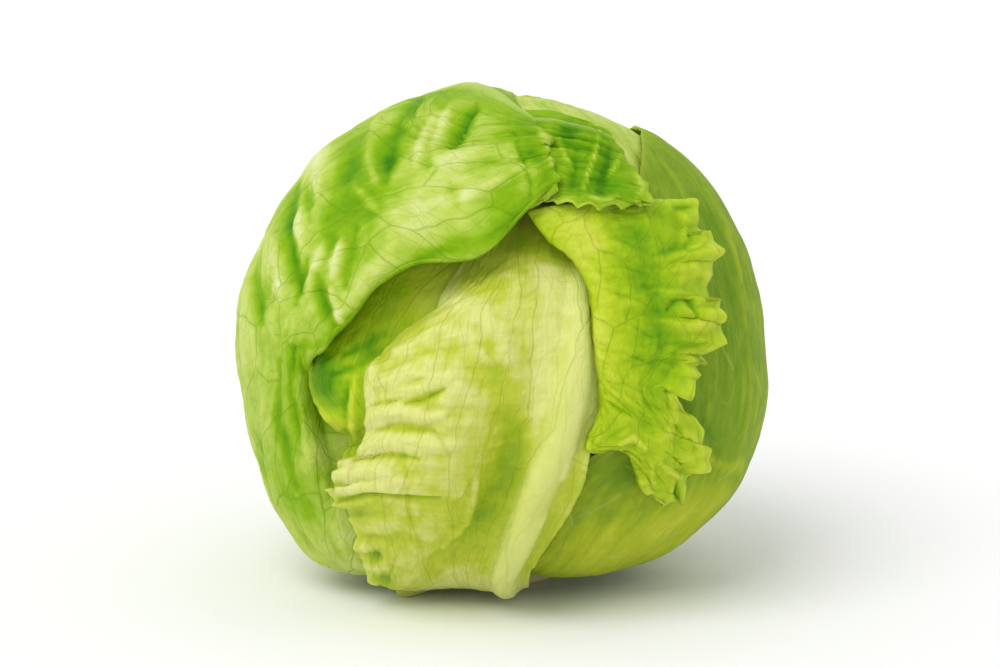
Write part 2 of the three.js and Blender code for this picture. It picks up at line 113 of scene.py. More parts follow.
def direction(longitude, latitude):
    """Directions from the middle of the head: longitude 0 is the front and 90 the right."""
    lon = np.radians(longitude)
    lat = np.radians(latitude)
    return np.stack([np.sin(lon) * np.cos(lat), -np.cos(lon) * np.cos(lat), np.sin(lat)], -1)


def reach(towards):
    """Distance from the middle of the head to its outside, along each direction."""
    total = np.full(towards.shape[:-1], HEAD_RADIUS)
    for longitude, latitude, height, focus in SWELLINGS:
        total = total + height * np.exp(focus * (towards @ direction(longitude, latitude) - 1))
    return total


def at(longitude, latitude, lift):
    """A control point of a leaf: a direction, and a height above the head's form."""
    return np.append(direction(longitude, latitude), lift)


def ring(latitude, lift, *longitudes):
    """A row of control points at one latitude and one height."""
    return [at(longitude, latitude, lift) for longitude in longitudes]


def seen(x, z, lift):
    """The same, for a point of the front given by where it is seen."""
    towards = VIEWER
    for _ in range(8):
        radius = reach(towards) + lift
        nearer = 1 - (towards @ VIEWER) * radius / VIEW_DISTANCE
        ahead = math.sqrt(max(radius**2 - (x * nearer) ** 2 - (z * nearer) ** 2, 0))
        towards = VIEW_RIGHT * x * nearer + VIEW_UP * z * nearer + VIEWER * ahead
        towards = towards / np.linalg.norm(towards)
    return np.append(towards, lift)


def net_of(rows):
    """A net of control points, where a bare (x, z, lift) is a point of the front as it is seen."""
    return np.array([[seen(*point) if type(point) is tuple else point for point in row] for row in rows])


def as_seen(points):
    """Where points in space are seen from the front, as columns x and z."""
    away = points - MIDDLE
    nearer = 1 - (away @ VIEWER) / VIEW_DISTANCE
    return np.stack([away @ VIEW_RIGHT / nearer, away @ VIEW_UP / nearer], -1)


def place(towards, lift):
    """Points in space. Under the head each leaf keeps its height over the surface."""
    points = MIDDLE + towards * (reach(towards) + lift)[..., None]
    lowest = UNDERSIDE_HEIGHT - lift
    above = (points[..., 2] - lowest) / UNDERSIDE_SOFTNESS
    points[..., 2] = lowest + UNDERSIDE_SOFTNESS * np.logaddexp(0, above)
    return points


def curve_weights(count, t):
    """Weights of the control points at each place of a smooth curve through all of them."""
    first = np.clip(np.floor(t).astype(int), 0, count - 2)
    s = t - first
    four = [
        (-(s**3) + 2 * s**2 - s) / 2,
        (3 * s**3 - 5 * s**2 + 2) / 2,
        (-3 * s**3 + 4 * s**2 + s) / 2,
        (s**3 - s**2) / 2,
    ]
    padded = np.zeros((len(t), count + 2))
    rows = np.arange(len(t))
    for n, weight in enumerate(four):
        padded[rows, first + n] += weight
    weights = padded[:, 1:-1].copy()
    weights[:, 0] += 2 * padded[:, 0]
    weights[:, 1] -= padded[:, 0]
    weights[:, -1] += 2 * padded[:, -1]
    weights[:, -2] -= padded[:, -1]
    return weights


def on_net(net, u, v):
    """Points of a net of control points at columns u and rows v, given as flat arrays."""
    across = curve_weights(net.shape[1], u)
    along = curve_weights(net.shape[0], v)
    mixed = np.einsum("ni,nj,ijk->nk", along, across, net, optimize=True)
    towards = mixed[:, :3] / np.linalg.norm(mixed[:, :3], axis=1)[:, None]
    return place(towards, mixed[:, 3])


def smooth(low, high, value):
    """Rises softly from 0 at low to 1 at high."""
    t = np.clip((value - low) / (high - low), 0, 1)
    return t * t * (3 - 2 * t)


def outward_at(points):
    """The direction from the middle of the head to each point."""
    away = points - MIDDLE
    return away / np.linalg.norm(away, axis=-1)[..., None]


# Uneven swelling of the blades, the same for all leaves along one direction, so that they nest
WAVE_LENGTHS = [46, 38, 31, 26, 22, 19]
GOLDEN_ANGLE = 2.39996


def pucker(points):
    """Waves that run several ways over the head, added up, from about -1 to 1."""
    on_head = outward_at(points) * HEAD_RADIUS
    total = 0
    for n, length in enumerate(WAVE_LENGTHS):
        rise = 1 - 2 * (n + 0.5) / len(WAVE_LENGTHS)
        turn = n * GOLDEN_ANGLE
        level = math.sqrt(1 - rise * rise)
        wave = np.array([math.cos(turn) * level, math.sin(turn) * level, rise])
        total = total + np.sin(on_head @ wave * 2 * math.pi / length + n) / len(WAVE_LENGTHS)
    return total


# Seeded gradients for the finer unevenness
GRADIENTS = np.random.default_rng(11).normal(size=(1024, 3))
GRADIENTS /= np.linalg.norm(GRADIENTS, axis=1)[:, None]


def noise(points, size, seed):
    """Smooth unevenness from about -1 to 1, with hollows and bumps of a size given along x, y and z."""
    p = points / np.array(size)
    cell = np.floor(p).astype(np.int64)
    t = p - cell
    s = t**3 * (t * (6 * t - 15) + 10)
    total = np.zeros(p.shape[:-1])
    for corner in np.ndindex(2, 2, 2):
        c = cell + corner
        mixed = c[..., 0] * 374761 + c[..., 1] * 668265 + c[..., 2] * 982451 + seed * 15731
        mixed = (mixed ^ (mixed >> 7)) * 2654435
        slope = GRADIENTS[(mixed >> 5) % len(GRADIENTS)]
        weight = np.prod(np.where(corner, s, 1 - s), axis=-1)
        total += weight * np.sum((t - corner) * slope, axis=-1)
    return 1.6 * total


def to_path(spots, path):
    """Distance of each seen spot from a path, and how far along the path it lies, from 0 to 1."""
    path = np.array(path, float)
    lengths = np.linalg.norm(np.diff(path, axis=0), axis=1)
    starts = np.concatenate([[0], np.cumsum(lengths)])
    nearest = np.full(len(spots), 1e9)
    where = np.zeros(len(spots))
    for n, length in enumerate(lengths):
        run = (path[n + 1] - path[n]) / length
        along = np.clip((spots - path[n]) @ run, 0, length)
        away = np.linalg.norm(spots - path[n] - along[:, None] * run, axis=1)
        better = away < nearest
        nearest[better] = away[better]
        where[better] = (starts[n] + along[better]) / starts[-1]
    return nearest, where


def strokes_at(spots, strokes):
    """Relief and tint of soft ridges and valleys along paths seen from the front.

    A stroke is (half-width, height, tint, spot, spot, ...). It fades out towards both its ends. Tints that
    darken valleys and creases are painted shade, and tints that pale ridges are painted light.
    """
    relief = np.zeros(len(spots))
    tint = np.zeros(len(spots))
    for half_width, height, shade, *path in strokes:
        away, where = to_path(spots, path)
        narrowing = 0.6 + 0.4 * smooth(0, 0.3, where) * smooth(0, 0.3, 1 - where)
        soft = narrowing * np.exp(-((away / (half_width * narrowing)) ** 2))
        relief += height * soft
        tint += shade * soft
    return relief, tint


def spaced(counts):
    """Places along a net: one count of cells for each step from control point to control point."""
    steps = [n + np.arange(count) / count for n, count in enumerate(counts)]
    return np.concatenate([*steps, [len(counts)]])


def run_lengths(points, axis):
    """Lengths along the rows or columns of a grid of points, from its first to each one."""
    steps = np.linalg.norm(np.diff(points, axis=axis), axis=-1)
    start = np.zeros_like(np.take(steps, [0], axis=axis))
    return np.concatenate([start, np.cumsum(steps, axis=axis)], axis=axis)


def normals_of(points):
    """Directions square to a grid of points, out of its outer side."""
    across = np.gradient(points, axis=1)
    along = np.gradient(points, axis=0)
    normal = np.cross(across, along)
    return normal / np.maximum(np.linalg.norm(normal, axis=-1), 1e-9)[..., None]


def ragged(points, net, line, outline, near):
    """Moves the margin of a grid of points, as it is seen from the front, on to a ragged outline.

    line says which margin: the column or row number of the net, as ("column", 0). near is how far in
    the blade follows, in columns or rows of the net.
    """
    kind, number = line
    u, v = net
    fixed, running = (u, v) if kind == "column" else (v, u)
    on_line = np.abs(fixed - number).argmin()
    margin = points[:, on_line] if kind == "column" else points[on_line]
    spots = as_seen(margin)
    outline = np.array(outline, float)
    # each spot of the outline belongs to the nearest place of the margin, in order
    nearest = np.array([np.linalg.norm(spots - spot, axis=1).argmin() for spot in outline])
    order = np.maximum.accumulate(running[nearest] + np.arange(len(outline)) * 1e-3)
    target = np.stack([np.interp(running, order, outline[:, n]) for n in (0, 1)], -1)
    fade = smooth(order[0] - 0.4, order[0], running) * smooth(order[-1] + 0.4, order[-1], running)
    shift = (target - spots) * fade[:, None]
    weight = np.exp(-(((fixed - number) / near) ** 2))
    move = shift[:, :1] * VIEW_RIGHT + shift[:, 1:] * VIEW_UP
    if kind == "column":
        return points + weight[None, :, None] * move[:, None, :]
    return points + weight[:, None, None] * move[None, :, :]


def tugged(points, tugs):
    """Draws the blade aside, or out, round some spots: (x, z, move right, move up, move out, reach)."""
    spots = as_seen(points.reshape(-1, 3)).reshape(points.shape[:2] + (2,))
    ahead = smooth(0, 0.2, (points - MIDDLE) @ VIEWER / HEAD_RADIUS)
    outward = outward_at(points)
    for x, z, right, up, out, reach_in in tugs:
        weight = np.exp(-np.sum((spots - (x, z)) ** 2, axis=-1) / reach_in**2) * ahead
        move = right * VIEW_RIGHT + up * VIEW_UP + out * outward
        points = points + weight[..., None] * move
    return points


def hollows(points, normal, cells):
    """How far each place lies below the blade's own smoothed form, in millimetres."""
    smoothed = points
    for axis in (0, 1):
        padded = np.concatenate(
            [np.repeat(np.take(smoothed, [0], axis), cells, axis), smoothed,
             np.repeat(np.take(smoothed, [-1], axis), cells, axis)], axis
        )
        total = np.cumsum(padded, axis=axis)
        upper = np.take(total, range(2 * cells, total.shape[axis]), axis)
        lower = np.take(total, range(0, total.shape[axis] - 2 * cells), axis)
        smoothed = (upper - lower) / (2 * cells)
    return np.sum((smoothed - points) * normal, axis=-1)


def shell_faces(columns, rows):
    """Faces of a closed blade: its outer and its inner side, and the margin that joins them."""
    index = np.arange((columns + 1) * (rows + 1)).reshape(rows + 1, columns + 1)
    under = index.size
    a = index[:-1, :-1].ravel()
    b = index[:-1, 1:].ravel()
    c = index[1:, 1:].ravel()
    d = index[1:, :-1].ravel()
    outer = np.stack([a, b, c, d], 1)
    inner = under + np.stack([a, d, c, b], 1)
    rim = np.concatenate([index[0], index[1:, -1], index[-1, -2::-1], index[-2:0:-1, 0]])
    onward = np.roll(rim, -1)
    edge = np.stack([under + rim, under + onward, onward, rim], 1)
    return np.concatenate([outer, inner, edge])


def mesh_piece(name, points, faces, slot, node):
    """A mesh in metres that rides on the head and stands for one CAD node."""
    mesh = bpy.data.meshes.new(name)
    mesh.vertices.add(len(points))
    mesh.vertices.foreach_set("co", (points * MM).astype(np.float32).ravel())
    mesh.loops.add(faces.size)
    mesh.loops.foreach_set("vertex_index", faces.astype(np.int32).ravel())
    mesh.polygons.add(len(faces))
    mesh.polygons.foreach_set("loop_start", np.arange(0, faces.size, faces.shape[1], dtype=np.int32))
    mesh.polygons.foreach_set("use_smooth", np.ones(len(faces), bool))
    mesh.update(calc_edges=True)
    piece = bpy.data.objects.new(name, mesh)
    bpy.context.scene.collection.objects.link(piece)
    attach(piece, "root")
    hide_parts(node)
    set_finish(piece, slot)
    return piece


def paint(piece, name, colour):
    """Stores three numbers for each vertex, which the material reads as red, green and blue."""
    whole = np.concatenate([np.clip(colour, 0, 1), np.ones((len(colour), 1))], 1)
    attribute = piece.data.attributes.new(name, "FLOAT_COLOR", "POINT")
    attribute.data.foreach_set("color", whole.astype(np.float32).ravel())


def lay_plan(piece, plan):
    """A UV map that holds each vertex's place on the flat leaf, in tenths of a metre."""
    corners = np.empty(len(piece.data.loops), np.int32)
    piece.data.loops.foreach_get("vertex_index", corners)
    layer = piece.data.uv_layers.new(name="leaf_plan")
    layer.data.foreach_set("uv", (plan[corners] / 100).astype(np.float32).ravel())


def grow_leaf(name, net, cells, slot, **habit):
    """One leaf as a closed blade, grown from its net of control points.

    cells       cells across and along, for each step of the net
    node        the CAD node that the leaf stands for
    rib         (column, height, half-width in columns) of the midrib on the outer side
    puckers     how much it shares the uneven swelling of the whole head
    teeth       (side, number, depth, reach): toothed margins where no outline is given
    outlines    (line, near, spots): ragged margins as they are seen from the front
    tugs        places where the blade is drawn aside or out, as seen from the front
    ruffle      (side, waves, height, reach): waved margins
    strokes     soft ridges and valleys as seen from the front, with tints, much of them painted shade and light
    folds       (height, across, along): long uneven folds, with their size across and along
    blisters    (height, size): swelling between the fine veins
    green       how green the blade is at its base and at its tip, from 0 to 1
    free        sides whose margins are bare and thin
    """
    u = spaced(cells[0])
    v = spaced(cells[1])
    grid = (len(v), len(u))
    last_u = net.shape[1] - 1
    last_v = net.shape[0] - 1
    uu, vv = np.meshgrid(u, v)
    from_margin = {"left": uu, "right": last_u - uu, "tip": last_v - vv}
    share = {"left": vv / last_v, "right": vv / last_v, "tip": uu / last_u}

    # teeth of uneven size, with small ones between
    cut_u = uu.copy()
    cut_v = vv.copy()
    for side, number, depth, reach_in in habit.get("teeth", ()):
        fade = np.maximum(0, 1 - from_margin[side] / reach_in) ** 2
        run = share[side]
        along = run * number + 0.35 * np.sin(run * 5.3) + 0.2 * np.sin(run * 31)
        tip = 1 - np.abs(2 * (along % 1) - 1)
        uneven_size = 0.55 + 0.45 * np.sin(run * number * 2.1 + 1)
        small = 0.25 * (1 - np.abs(2 * ((along * 3.3) % 1) - 1))
        cut = depth * fade * ((1 - tip**1.4) * uneven_size + small)
        if side == "tip":
            cut_v -= cut
        else:
            cut_u += cut if side == "left" else -cut
    points = on_net(net, cut_u.ravel(), cut_v.ravel()).reshape(*grid, 3)
    for line, near, outline in habit.get("outlines", ()):
        points = ragged(points, (u, v), line, outline, near)
    points = tugged(points, habit.get("tugs", ()))

    # the flat plan of the leaf, for what follows the blade
    widths = run_lengths(points, 1).mean(axis=0)
    lengths = run_lengths(points, 0).mean(axis=1)
    middle_column = habit["rib"][0] if "rib" in habit else last_u / 2
    plan_u = widths - np.interp(middle_column, u, widths)
    plan = np.stack(np.meshgrid(plan_u, lengths), -1)

    normal = normals_of(points)
    outward = outward_at(points)
    facing = np.clip(1.6 * np.sum(normal * outward, axis=-1), -1, 1)
    to_viewer = smooth(-0.05, 0.25, outward @ VIEWER)
    # the blade is calm at its fleshy base
    awake = smooth(0, 1.6, vv)

    rib = np.zeros(grid)
    calm = np.ones(grid)
    rib_height = 0.0
    if "rib" in habit:
        column, rib_height, half_width = habit["rib"]
        narrowing = 1 - 0.6 * vv / last_v
        from_rib = np.abs(uu - column) / half_width
        rib = narrowing * np.exp(-((from_rib / narrowing) ** 2.6)) * smooth(0, 1, vv)
        calm -= 0.85 * np.exp(-((from_rib / 1.8) ** 2))

    # relief: what rises or sinks along the outward direction
    spots = as_seen(points).reshape(-1, 2)
    relief, tint = strokes_at(spots, habit.get("strokes", ()))
    relief = relief.reshape(grid) * to_viewer
    tint = tint.reshape(grid) * to_viewer
    # each leaf lies in the noise at its own level, by the length of its name
    flat = np.dstack([plan, np.full(grid, LEVEL_STEP * len(name))])
    height, across, along = habit["folds"]
    uneven_rise = noise(flat, (across, along, LEVEL_SIZE), 3)
    uneven_rise += 0.5 * noise(flat, (across * 0.5, along * 0.5, LEVEL_SIZE), 5)
    uneven_rise += 0.22 * noise(flat, (across * 0.25, along * 0.3, LEVEL_SIZE), 6)
    relief += height * uneven_rise * awake * calm
    height, size = habit["blisters"]
    uneven_rise = noise(flat, (size, size * 1.4, LEVEL_SIZE), 8)
    uneven_rise += 0.45 * noise(flat, (size * 0.4, size * 0.55, LEVEL_SIZE), 9)
    relief += height * uneven_rise * awake * calm
    waved = habit.get("puckers", 0) * pucker(points) * awake * calm
    for side, waves, height, reach_in in habit.get("ruffle", ()):
        close = np.maximum(0, 1 - from_margin[side] / reach_in) ** 1.5
        along = share[side]
        waved += height * close * np.sin(along * waves * 2 * math.pi + 0.8 * np.sin(along * 9))

    # how far each place is from the bare margins, in millimetres
    sideways = run_lengths(points, 1)
    lengthways = run_lengths(points, 0)
    runs = {"left": sideways, "right": sideways[:, -1:] - sideways, "tip": lengthways[-1:] - lengthways}
    away = np.minimum.reduce([runs[side] for side in habit["free"]])
    thick = BLADE + (FLESHY - BLADE) * (1 - awake) - (BLADE - MARGIN) * np.exp(-away / THINNING)

    centre = points + normal * (waved + facing * relief)[..., None]
    bent = normals_of(centre)
    outer = centre + bent * (thick / 2 + rib_height * rib)[..., None]
    inner = centre - bent * (thick / 2)[..., None]
    both = np.concatenate([outer.reshape(-1, 3), inner.reshape(-1, 3)])
    low_down = both[:, 2] < FLOOR_SOFTNESS
    both[low_down, 2] = FLOOR_SOFTNESS * np.exp(both[low_down, 2] / FLOOR_SOFTNESS - 1)
    piece = mesh_piece(name, both, shell_faces(len(u) - 1, len(v) - 1), slot, habit["node"])

    # growth: how green, with painted shade in hollows and painted light on ridges, how near the rib and how
    # near a margin
    low, high = habit["green"]
    sunk = np.clip(hollows(centre, bent * np.sign(facing)[..., None], 7), -1.2, 1.2)
    green = low + (high - low) * vv / last_v + tint
    # painted shade in the hollows and painted light on the ridges
    green += HOLLOW_PAINTED_SHADE * sunk - RIDGE_PAINTED_LIGHT * np.clip(relief, -2.5, 2.5)
    green += 0.07 * noise(points, (9, 9, 9), 21) + 0.05 * noise(points, (3.5, 3.5, 3.5), 22)
    growth = np.stack([green, rib, np.exp(-away / MARGIN_TINT)], -1).reshape(-1, 3)
    paint(piece, "growth", np.concatenate([growth, growth]))
    lay_plan(piece, np.concatenate([plan.reshape(-1, 2)] * 2))
    return piece


# Pieces ride on the head as the CAD nodes do.
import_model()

# The big leaf of the left side and the top. Its front margin rolls in as a lip over the pale leaf,
# lower down it runs in under that leaf, and its tip lies crumpled on the right of the top.
HOOD_NET = net_of([
    [
        at(-150, -75, -2), at(-124, -75, -2), at(-98, -75, -2), at(-74, -75, -2.5), at(-54, -75, -3),
        at(-38, -75, -5), at(-26, -75, -7),
    ],
    [
        at(-156, -52, 0), at(-124, -52, 0), at(-92, -50, 0), at(-66, -50, 1), (-45, -69, 0),
        (-36, -64, -3), (-27, -62, -7),
    ],
    [
        at(-160, -28, 0), at(-125, -28, 0), at(-92, -28, 0), (-69, -38, 0), (-57, -39, -0.5),
        (-48, -41, -5.5), (-35, -42, -10),
    ],
    [
        at(-166, -4, 0), at(-128, -3, 0), at(-94, -3, 0), (-69, -13, 1), (-61.5, -12, 0.5),
        (-54, -15, -6.5), (-42, -17, -11),
    ],
    [
        at(-172, 20, 0), at(-132, 22, 0.5), at(-98, 18, 0.5), (-70, 8, 2), (-62, 3, 3),
        (-57.5, -4, 1.5), (-59.5, 0.5, -5),
    ],
    [
        at(180, 44, 0), at(-145, 50, 0.3), at(-102, 45, 0), (-62, 28, 3), (-51, 20, 5),
        (-44, 11, 3.5), (-45, 17, -6),
    ],
    [
        at(160, 62, 0), at(-165, 72, 0), at(-96, 70, 0.8), (-41, 46, 4), (-33, 36, 6),
        (-28, 23, 5), (-29, 29, -6),
    ],
    [
        at(176, 72, -5), at(172, 84, -1.4), (-21, 66, 1.8), (-16, 53, 5), (-11, 40, 7),
        (-6, 26, 6), (-8, 32, -5),
    ],
    [
        (3, 70, -4), (8, 67, 0.8), (11, 63, 4), (13.5, 58, 7.5), (15.5, 53, 9),
        (16.5, 48, 9.5), (16, 43.5, 8.5),
    ],
    [
        (5, 70, -3.2), (7, 67, 0.2), (9, 62.5, 1), (10, 57.5, 3.5), (11, 52, 5),
        (12, 46, 5.5), (12, 42.5, 4.5),
    ],
    [
        (17, 67.5, -1.6), (19, 65.8, 2.6), (21, 62, 5.4), (22, 57, 6.4),
        (22.5, 51, 7.5), (22.5, 45.5, 8.5), (21.5, 41, 8),
    ],
    [
        (29, 64, 3.5), (33, 61, 4.8), (37, 57, 6), (40, 52, 7), (43, 47, 8.5),
        (44.5, 42.5, 9), (42, 40, 8.5),
    ],
])
HOOD_STROKES = [
    # deep green valleys that run up the left side and on to the top, darkened with painted shade, and
    # broader deeper green patches
    (2.8, -1.5, 0.28, (-24, 72), (-29, 67), (-32, 60), (-33.5, 54), (-34.5, 48)),
    (1.8, -1.9, 0.24, (-7, 69), (-9.5, 66), (-12, 62.5), (-14.5, 58)),
    (1.8, -1.2, 0.26, (-60.5, 48), (-61.5, 42), (-62.5, 35), (-62, 28), (-61.5, 21), (-61, 15)),
    (3.4, -0.4, 0.22, (-62, 46), (-64.5, 38), (-65, 29), (-63, 18)),
    (1.6, -0.9, 0.22, (-72, 25), (-73, 19), (-72.5, 12), (-71, 5)),
    (4.8, -0.7, 0.26, (-43, 66), (-45.5, 58), (-46, 49), (-48.5, 40), (-52, 30)),
    (2.2, -0.9, 0.16, (-43, 34), (-44, 28), (-45.5, 21), (-46, 16)),
    (2.6, -1.0, 0.30, (-55, 20), (-53, 13), (-50, 5)),
    (1.4, -0.8, 0.16, (-58, 25), (-60, 18), (-61.5, 11)),
    (1.8, -0.7, 0.14, (-56, 52), (-57.5, 44), (-56.5, 36)),
    (4.0, -0.5, 0.12, (-60, -2), (-58, -14), (-54, -28)),
    (8, 0, 0.18, (-70, -32), (-63, -46), (-56, -56)),
    (5, 0, 0.14, (-64, -16), (-62, -32)),
    (1.3, -0.9, 0.14, (-62, -2), (-62.5, -14), (-60, -30)),
    (2.0, -0.4, 0.03, (-75, 0), (-75, -16), (-70.5, -34)),
    (1.6, -0.7, 0.14, (-66, -6), (-66.5, -24), (-61, -44)),
    (6.0, -0.5, 0.22, (-38, -66), (-33, -73), (-26, -77)),
    (6, 0, 0.30, (-26, 72), (-13, 74), (0, 75), (10, 72)),
    (6, 0, 0.26, (-36, 66), (-40, 54), (-41, 42), (-39, 28)),
    (4, 0, 0.18, (-30, 62), (-26, 57)),
    (4, 0, 0.16, (-40, 63), (-38, 57)),
    (4, 0, 0.15, (-51, 32), (-50, 27)),
    (4, 0, 0.20, (-64, 1), (-62, -8)),
    # pale ridges between them, made paler as painted light
    (1.6, 1.1, -0.16, (-20, 66), (-23, 60), (-25, 53)),
    (1.6, 1.0, -0.16, (-15, 69), (-18, 63), (-20, 58)),
    (1.6, 0.9, -0.14, (-36, 68), (-38, 61), (-39.5, 54), (-37, 48)),
    (2.6, 1.0, -0.18, (-52, 57), (-56, 51), (-54.5, 44)),
    (1.4, 0.9, -0.16, (-59, 40), (-60, 34), (-59, 29)),
    (1.8, 1.0, -0.18, (-52.5, 30), (-55.5, 22), (-57.5, 15)),
    (1.6, 1.0, -0.18, (-47.5, 31), (-48.5, 25), (-49.5, 19)),
    (1.4, 1.0, -0.16, (-50, 15), (-49, 10), (-47.5, 6)),
    (2.0, 0.8, -0.14, (-67, 30), (-66.5, 22), (-66, 12)),
    (1.5, 0.8, -0.14, (-43, 46), (-40, 43), (-37, 39)),
    # the pale part over the lip, dimpled: painted light on its swellings and painted shade in its dimples
    (6.5, 0.5, -0.16, (-2, 47), (-12, 44), (-22, 39), (-31, 31)),
    (4.5, 0.4, -0.12, (-8, 56), (-17, 52), (-26, 44)),
    (4.0, 0.5, -0.10, (-34, 24), (-42, 15), (-48, 8)),
    (1.8, -0.5, 0.12, (-20.5, 55), (-21.5, 51)),
    (2.4, -0.5, 0.10, (-14.5, 47), (-12.5, 41)),
    (2.2, 0.5, -0.12, (0, 56.5), (6, 54.5)),
    (2.4, 0.4, -0.12, (5, 51), (10, 50)),
    # the bright green band along the lip, and the deeper green where it turns up to the tip
    (2.2, 0, 0.22, (-60, -2), (-54, -1), (-48, 4), (-42, 10), (-36, 15.5), (-27, 22.5), (-18, 27)),
    (3.2, 0, 0.30, (-24, 25), (-12, 28.5), (-2, 31), (4, 36), (9, 41.5), (13.5, 46)),
    (5.0, 0, 0.22, (-6, 36), (1, 41), (5, 48)),
    # a thin crease, darkened with painted shade
    (0.8, -0.6, 0.14, (4, 62), (7, 54), (9, 47), (9, 42)),
    (7.0, 0, 0.20, (-2, 67), (5, 63), (10, 57)),
    (4.0, 0, 0.16, (9, 56), (12, 51), (13, 46)),
    # the crumpled tip is dark green, with thin light veins and bright teeth; painted shade darkens its
    # hollows, and painted highlights pale some of its ridges
    (11, 0, 0.30, (12, 58), (20, 56.5), (28, 54), (36, 50), (41, 46)),
    (8.0, 0, 0.20, (10, 65), (18, 67), (27, 65), (36, 60), (43, 54)),
    (4.0, 0, 0.24, (17, 46), (25, 45), (33, 44), (40, 44)),
    (2.4, -1.0, 0.16, (17, 62), (23, 62.5)),
    (1.8, -0.8, 0.08, (33, 58), (32, 51), (30, 45)),
    (1.6, -0.8, 0.08, (23, 57), (22, 50), (21, 45)),
    (0.6, 0.8, -0.26, (29.5, 62), (28.5, 56), (26, 49), (24.5, 43)),
    (0.7, 0.7, -0.24, (36.5, 56), (34.5, 52), (32.5, 49)),
    (0.8, 0.7, -0.20, (11, 63), (14, 58.5), (15, 52)),
    (0.8, 0.6, -0.28, (25.5, 43.5), (30, 42), (35, 43)),
    (0.8, 0.6, -0.24, (40, 50), (42.5, 46), (40.5, 42)),
    (0.7, 0.6, -0.18, (18, 60), (19, 55), (22, 51)),
]
HOOD_TIP_MARGIN = [
    (28.5, 65.2), (29.4, 62.8),
    (33.6, 62), (34.5, 59.6), (37.4, 57.2), (38, 54), (41, 52), (41.4, 48.8), (44.3, 46.8), (44, 43.8),
    (46, 41),
]
HOOD_FOLD_MARGIN = [
    (10, 65), (12, 63), (14.2, 60), (12, 58.5), (12.5, 56), (10.4, 54.5), (13.6, 52.5), (15, 49.8),
    (17.4, 48.4), (15.5, 46.6), (16.4, 44.2), (13.4, 42.6),
]
HOOD_LOWER_MARGIN = [
    (13.6, 41.6), (16, 41.9), (17.2, 40.8), (20, 41.6), (21.5, 41.2), (23, 39.4), (26.5, 40.8),
    (28, 40.2), (29.2, 38.6), (31, 39.8), (34.5, 40.9), (36, 39.2), (37.2, 39.4), (40, 41.2), (42.3, 39.9),
]
grow_leaf(
    "leaf_hood_blade",
    HOOD_NET,
    ([16, 16, 18, 34, 34, 28], [14, 18, 24, 28, 32, 30, 30, 22, 16, 16, 22]),
    "outer_leaf",
    node="leaf_hood",
    rib=(1.3, 2, 0.2),
    puckers=1.4,
    teeth=[("right", 11, 0.1, 1)],
    outlines=[
        (("row", 11), 0.7, HOOD_TIP_MARGIN),
        (("row", 8), 0.4, HOOD_FOLD_MARGIN),
        (("column", 6), 0.4, HOOD_LOWER_MARGIN),
    ],
    tugs=[(-45, 9, -0.5, -3.6, 0, 8), (-54, 1, 1.5, -3, 0, 6), (5, 72, 0, 0, -1, 5)],
    strokes=HOOD_STROKES,
    folds=(0.9, 11, 42),
    blisters=(0.34, 4.5),
    green=(0.36, 0.46),
    free=("right", "tip"),
)

# The bare pale leaf of the front, with its thick midrib, ragged at the left where it is crumpled
FRONT_NET = net_of([
    [at(-40, -75, 2), at(-24, -75, 2), at(-10, -75, 2), at(3, -75, 2), at(14, -75, 1.5), at(24, -75, 1)],
    [(-37, -75, 3.5), (-27, -76, 2.5), (-15, -69, 0.5), (-7, -71, 1.5), (1, -71, 2), (9, -69, 1)],
    [(-43, -62, 4), (-31, -60, 5), (-16, -58, 3), (-4, -58, -0.5), (6, -58, 2.5), (15.5, -56.5, 0)],
    [(-51, -46, 4), (-35, -44, 8.5), (-17, -45, 7), (-1, -45, -3), (12, -43.5, 2.5), (23, -43, -1)],
    [(-43, -32, 4), (-31, -28, 8.5), (-14, -30, 8), (4, -29, -1.5), (18, -28, 2), (26, -31, -1)],
    [(-41, -15, 1), (-28, -11, 7.5), (-10, -12, 6.5), (9, -11, -0.5), (22, -10, 0.3), (31.5, -13, -9.8)],
    [(-36, -2, -3), (-23, 3, 4), (-6, 8, 3), (11, 9, -1), (23.5, 9, -3), (33.5, 9, -11)],
    [(-21, 10, -7), (-9, 17, -4), (0, 23, -5), (12, 26, -6), (24, 25, -7.5), (34, 26, -12)],
    [(-11, 24, -10.5), (-4, 33, -10), (4, 38, -10), (13, 41, -10), (22, 39, -11), (28, 37, -13)],
])
FRONT_MARGIN = [
    (-28.8, -76.5), (-30.9, -75.6), (-32.7, -70), (-36, -70.6), (-39.6, -73), (-40.2, -67.8), (-40.8, -66),
    (-43.8, -62), (-42.6, -58.6), (-44.1, -55.2), (-45.6, -53.4), (-45.2, -51.6), (-46.5, -50.7),
    (-51, -49.8), (-49.8, -47.7), (-53.3, -44.3), (-50.1, -44.6), (-50.4, -39.3), (-48.8, -38.5),
    (-48.3, -35.4), (-47.2, -37.6), (-42.9, -34.5), (-40.8, -30.6), (-40.2, -20.7), (-40.8, -11.1),
    (-35.1, -2.1), (-27.6, 3.6), (-18.9, 6),
]
